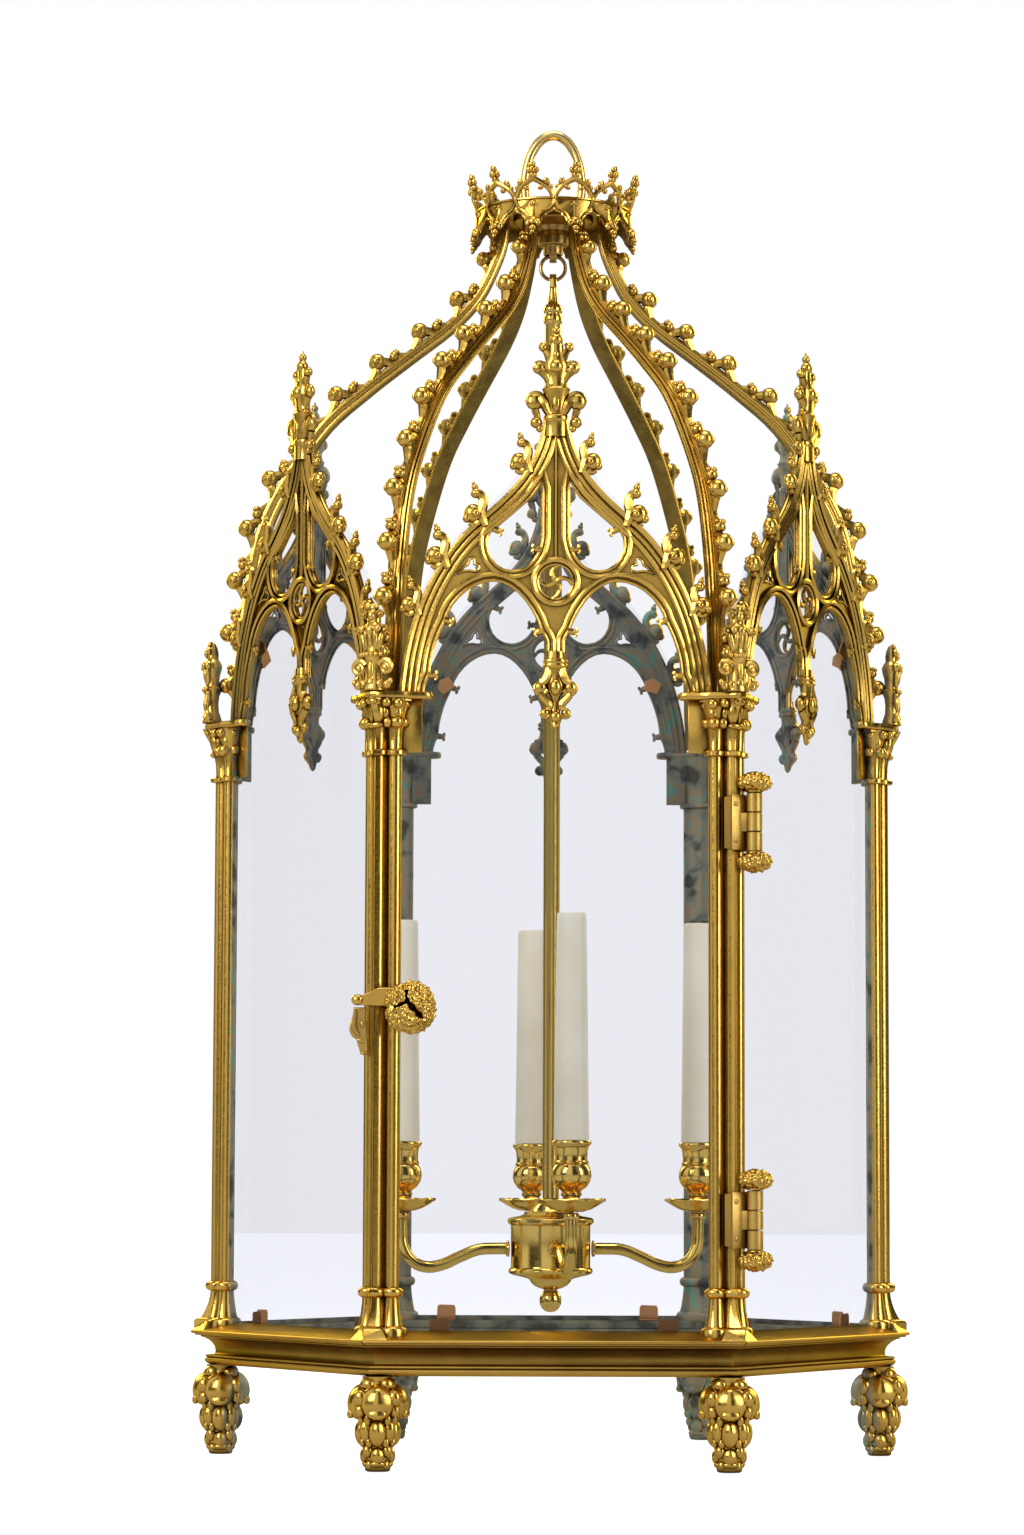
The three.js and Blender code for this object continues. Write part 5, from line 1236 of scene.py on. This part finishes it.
def walnut(half_sizes, detail, middle, lobes):
    """A leafy boss chased like a walnut: round bumps, smaller bumps on them, and a crinkled skin."""
    bpy.ops.object.select_all(action="DESELECT")
    bpy.ops.mesh.primitive_ico_sphere_add(subdivisions=detail, radius=1)
    boss = pick(bpy.context.object)
    boss.data.transform(Matrix.Translation(Vector(middle) * MM) @ Matrix.Diagonal((*(Vector(half_sizes) * MM), 1)))
    for name, kind, size, depth in (
        ("lobes", "VORONOI", *lobes), ("bumps", "VORONOI", 3.2, -2.6), ("skin", "CLOUDS", 1.4, 1.6),
    ):
        grain = bpy.data.textures.new(name, kind)
        grain.noise_scale = size * MM
        step = boss.modifiers.new(name, "DISPLACE")
        step.texture = grain
        step.strength = depth * MM
        step.mid_level = 0.3 if kind == "VORONOI" else 0.5
        step.texture_coords = "LOCAL"
        bpy.ops.object.modifier_apply(modifier=name)
    return boss


def knuckle_form(bottom, height):
    top = bottom + height
    form = turned([
        (2.2, bottom), (BARREL - 0.5, bottom), (BARREL, bottom + 0.5), (BARREL, top - 0.5), (BARREL - 0.5, top),
        (2.2, top),
    ], 32, closed=True)
    form.data.transform(moved(HINGE_OUT, HINGE_ACROSS, 0))
    return form


# its hollow colour is painted shade, put into recesses by ambient occlusion
hinge_brass = gilt_brass("hinge_brass", (0.66, 0.43, 0.11), (0.13, 0.06, 0.01), roughness=0.4, grain=0.3)
knob_master = walnut((13.0, 13.0, 8.0), 5, (0, 0, 0), (6, -1.2))
for level in ("lower", "upper"):
    bottom, top = (corner_box.z / MM for corner_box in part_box(f"hinge_frame_leaf_{level}"))
    door_plate = level_sheet([(12.4, -6.4), (14.6, -6.4), (14.8, 4.4), (12.4, 4.4)], bottom + 1, top - 1)
    packing = level_sheet([(6.0, -7.4), (12.6, -6.2), (12.6, -0.6), (8.9, -0.5)], bottom + 2.5, top - 2.5)
    neck_outline = [(12.4, 1.0), (14.8, 1.0), (18.0, 4.4), (16.0, 7.4), (12.4, 4.4)]
    neck = level_sheet(neck_outline, bottom + KNUCKLE + 0.3, top - KNUCKLE - 0.3)
    screws = cluster([(leaf, (14.6, -3.4, height), (0.8, 2.0, 2.0)) for height in (bottom + 8, top - 8)])
    door_leaf = joined([door_plate, packing, neck, knuckle_form(bottom + KNUCKLE + 0.25, KNUCKLE - 0.5), *screws])

    frame_parts = [level_sheet([(3.4, 8.0), (13.9, 8.0), (13.9, 11.4), (3.4, 11.4)], bottom + 1, top - 1)]
    for start in (bottom, top - KNUCKLE + 0.1):
        frame_parts.append(knuckle_form(start, KNUCKLE - 0.25))
        link_outline = [(13.6, 8.0), (17.4, 8.0), (17.4, 11.2), (13.6, 11.2)]
        frame_parts.append(level_sheet(link_outline, start + 1, start + KNUCKLE - 1.2))
    frame_leaf = joined(frame_parts)

    ends = [turned([(1.9, bottom - 1), (1.9, top + 1)], 16)]
    for centre, outer in ((top + 7.4, 1), (bottom - 7.4, -1)):
        ends.append(copied(knob_master, moved(0, 0, centre) @ Matrix.Diagonal((1, 1, outer, 1))))
        neck_ring = turned([(4.4, -1.0), (5.8, -1.0), (6.4, 0.2), (5.8, 1.2), (4.4, 1.2)], 24)
        neck_ring.data.transform(moved(0, 0, centre - outer * 6.1))
        ends.append(neck_ring)
    hinge_pin = joined(ends)
    hinge_pin.data.transform(hinge_place @ moved(HINGE_OUT, HINGE_ACROSS, 0))
    for leaf_plate in (door_leaf, frame_leaf):
        leaf_plate.data.transform(hinge_place)

    for part, node, making, material, body, slot, smooth in (
        (door_leaf, f"hinge_door_leaf_{level}", "plate", hinge_brass, "door", "pale_brass", 35),
        (frame_leaf, f"hinge_frame_leaf_{level}", "plate", hinge_brass, "lantern_frame", "pale_brass", 35),
        (hinge_pin, f"hinge_pin_{level}", "turning", frame_brass, "lantern_frame", "gilt_brass", 60),
    ):
        dressed(part, f"{node}_{making}", material, node, body=body, slot=slot, smooth=smooth)
removed(knob_master)

# Latch: a chased leafy knob on a spindle through the left stile. A flat tongue behind it drops
# into an open hook beside the column; knob, tongue and spindle turn together.
latch_joint = next(joint for joint in frame["record"]["behaviour"]["joints"] if joint["name"] == "latch_turn")
LATCH_X, LATCH_HIGH = latch_joint["pos_m"][0] / MM, latch_joint["pos_m"][2] / MM
latch_place = Matrix.Translation((LATCH_X * MM, AXIS.y - APOTHEM, LATCH_HIGH * MM))
KNOB_FACE = -33.2
knob = walnut((19.6, 10.6, 19.6), 6, (4.7, -22.4, -5), (8, -2.6))
for vertex in knob.data.vertices:
    x, z = vertex.co.x / MM - 2.6, vertex.co.z / MM + 1.2
    for angle, reach, half in ((95, 8, 0.9), (205, 10, 1.1), (-47, 16, 1.9)):
        run = Vector((math.cos(math.radians(angle)), math.sin(math.radians(angle))))
        along, across = x * run.x + z * run.y, abs(x * run.y - z * run.x)
        width = half * (1 + 0.4 * math.sin(0.9 * along + angle))
        if vertex.co.y < -22 * MM and -1 < along < reach and across < width:
            vertex.co.y += 5.0 * MM * (1 - across / width)
    vertex.co.y = max(vertex.co.y, KNOB_FACE * MM)
tongue_line = smoothed([
    (6.4, -5.8), (7.4, 0), (6.4, 6.4), (-4, 8.6), (-14, 9.4), (-21, 8.4), (-27, 5.4), (-31, 3.6), (-36, 3.4),
    (-36, -1.6), (-31, -3.0), (-26, -3.4), (-12, -3.6), (-2, -5.0),
], 2)
tongue = sheet(tongue_line, [], 10.2, 13.2, 0.7)
tongue_end = cluster([(ball, (-33.0, -12.0, 0.6), (4.4, 3.2, 4.0))])
spindle = turned([(2.9, -3), (2.9, 11), (4.6, 11.4), (4.6, 13.4)], 20)
spindle.data.transform(spun(90, "X"))
latch = joined([tongue, *tongue_end, spindle, knob])
latch.data.transform(latch_place)
dressed(latch, "latch_knob_casting", frame_brass, "latch", body="latch_knob", smooth=60)

# Catch: a filed brass hook, screwed to the fixed shaft, that tapers to a curled end. It is open to
# the front and above, so that the latch's tongue drops into it and lifts out.
hook_left, hook_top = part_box("latch_catch")[0].x / MM, LATCH_HIGH - 4.6
hook_line = smoothed([(hook_left + x, hook_top - z) for x, z in (
    (3.6, 0), (3.4, 5), (1.4, 11), (0.8, 16), (2.6, 20.6), (6.0, 22.6), (6.4, 25), (7.8, 29.5), (9.2, 33),
    (13.2, 33.4), (13.6, 27), (12.8, 20), (13.4, 12), (12.6, 8), (12.8, 0),
)], 3)
ridge_line = [(5.2, -11.6, 2), (4.4, -12.0, 9), (4.6, -12.0, 15), (8.0, -11.6, 20)]
hook = joined([
    sheet(hook_line, [], 3.4, 11.6, 0.9),
    smooth_tube([(hook_left + x, y, hook_top - z) for x, y, z in ridge_line], [1.4, 1.9, 1.9, 1.0]),
    *cluster([
        (ball, (hook_left + 9.0, -11.2, hook_top - 23.6), (3.6, 1.7, 1.6), (0, 14, 0)),
        (ball, (hook_left + 10.8, -11.0, hook_top - 32.4), (2.4, 1.6, 1.3)),
        (ball, (hook_left + 10.2, -11.4, hook_top - 12.0), (2.2, 1.4, 2.6)),
    ]),
])
hook.data.transform(Matrix.Translation((0, AXIS.y - APOTHEM, 0)))
dressed(hook, "latch_catch_hook", hinge_brass, "latch_catch")
removed(ball, leaf, scroll)

# Studio: a pale floor under the lantern, a white surround, and large soft lamps. The surround that
# polished metal mirrors is white with dimmer bands between the softboxes, as in a photographer's room.


def camera_rays(tree):
    """The kinds of ray, and 1 where the camera looks directly or through the glass."""
    rays = tree.nodes.new("ShaderNodeLightPath").outputs
    return rays, reckoned(tree, "MAXIMUM", rays["Is Camera Ray"], rays["Is Transmission Ray"])


floor_white, tree, shader = new_material("floor_white")
rays, seen = camera_rays(tree)
feed(shader, {
    "Base Color": (0.5, 0.5, 0.5), "Roughness": 0.9, "Specular IOR Level": 0.0, "Emission Color": (1, 1, 1),
    "Emission Strength": reckoned(tree, "MULTIPLY", seen, 0.86),
})
bpy.ops.object.select_all(action="DESELECT")
bpy.ops.mesh.primitive_plane_add(size=40, location=(AXIS.x, AXIS.y, -0.5 * MM))
floor = pick(bpy.context.object)
floor.name = "floor"
floor.data.materials.append(floor_white)

world = bpy.data.worlds.new("studio")
bpy.context.scene.world = world
world.use_nodes = True
sky = world.node_tree
sky.nodes.clear()
rays, seen = camera_rays(sky)
BANDS, FIRST_BAND = 5, 1.1
around = add(sky, "TexGradient", {"Vector": add(sky, "TexCoord", {}, "Generated")}, "Fac", gradient_type="RADIAL")
wave = reckoned(sky, "SINE", reckoned(sky, "MULTIPLY_ADD", around, BANDS * 2 * math.pi, FIRST_BAND))
level = add(sky, "MapRange", {
    "From Min": -0.5, "From Max": 0.6, "To Min": 0.05, "To Max": 0.95, "Value": wave,
}, interpolation_type="SMOOTHSTEP")
banded = add(sky, "Background", {"Strength": level})
plain = add(sky, "Background", {"Color": (0.93, 0.95, 1.0), "Strength": 0.55})
white = add(sky, "Background", {"Color": (1, 1, 1)})
lit = add(sky, "MixShader", {0: rays["Is Glossy Ray"], 1: plain, 2: banded})
shown = add(sky, "MixShader", {0: seen, 1: lit, 2: white})
feed(sky.nodes.new("ShaderNodeOutputWorld"), {"Surface": shown})

MIDDLE = AXIS + Vector((0, 0, 0.5))
for name, place, size, power in (
    ("key", (-1.9, -2.1, 1.3), (1.0, 1.8), 42),
    ("fill", (2.3, -1.6, 0.7), (0.9, 1.8), 24),
    ("back_left", (-1.8, 2.0, 1.2), (0.9, 1.8), 26),
    ("back_right", (1.9, 2.1, 1.2), (0.9, 1.8), 26),
    ("top", (0.0, -0.2, 2.4), (1.4, 1.4), 22),
):
    lamp = bpy.data.lights.new(name, "AREA")
    lamp.shape = "RECTANGLE"
    lamp.size, lamp.size_y = size
    lamp.energy = power
    softbox = bpy.data.objects.new(name, lamp)
    softbox.location = MIDDLE + Vector(place)
    softbox.rotation_mode = "QUATERNION"
    softbox.rotation_quaternion = (-Vector(place)).to_track_quat("-Z", "Y")
    bpy.context.scene.collection.objects.link(softbox)

# Camera: a long lens, a little below the middle of the lantern and looking slightly up. Its place,
# turns and focal length were fitted to corners of the frame in the photograph.
FOCAL_PIXELS = 4473
PHOTO_HEIGHT = 1535
CAMERA_REACH = 3401 * MM
CAMERA_HEIGHT = 193.1 * MM
around, heading, rise, lean = (math.radians(a) for a in (-0.651, -0.139, 5.479, 0.193))
lens = bpy.data.cameras.new("camera")
lens.sensor_width = 36
lens.lens = FOCAL_PIXELS / PHOTO_HEIGHT * lens.sensor_width
lens.clip_start = 0.1
lens.clip_end = 100
camera = bpy.data.objects.new("camera", lens)
bpy.context.scene.collection.objects.link(camera)
ahead = Vector((-math.sin(heading) * math.cos(rise), math.cos(heading) * math.cos(rise), math.sin(rise)))
right = Vector((math.cos(heading), math.sin(heading), 0))
upward = right.cross(ahead)
right_leaned = math.cos(lean) * right + math.sin(lean) * upward
up_leaned = -math.sin(lean) * right + math.cos(lean) * upward
facing = Matrix((right_leaned, up_leaned, -ahead)).transposed().to_4x4()
stand = AXIS + Vector((math.sin(around) * CAMERA_REACH, -math.cos(around) * CAMERA_REACH, CAMERA_HEIGHT))
camera.matrix_world = Matrix.Translation(stand) @ facing
bpy.context.scene.camera = camera
bpy.context.scene.view_settings.view_transform = "Standard"
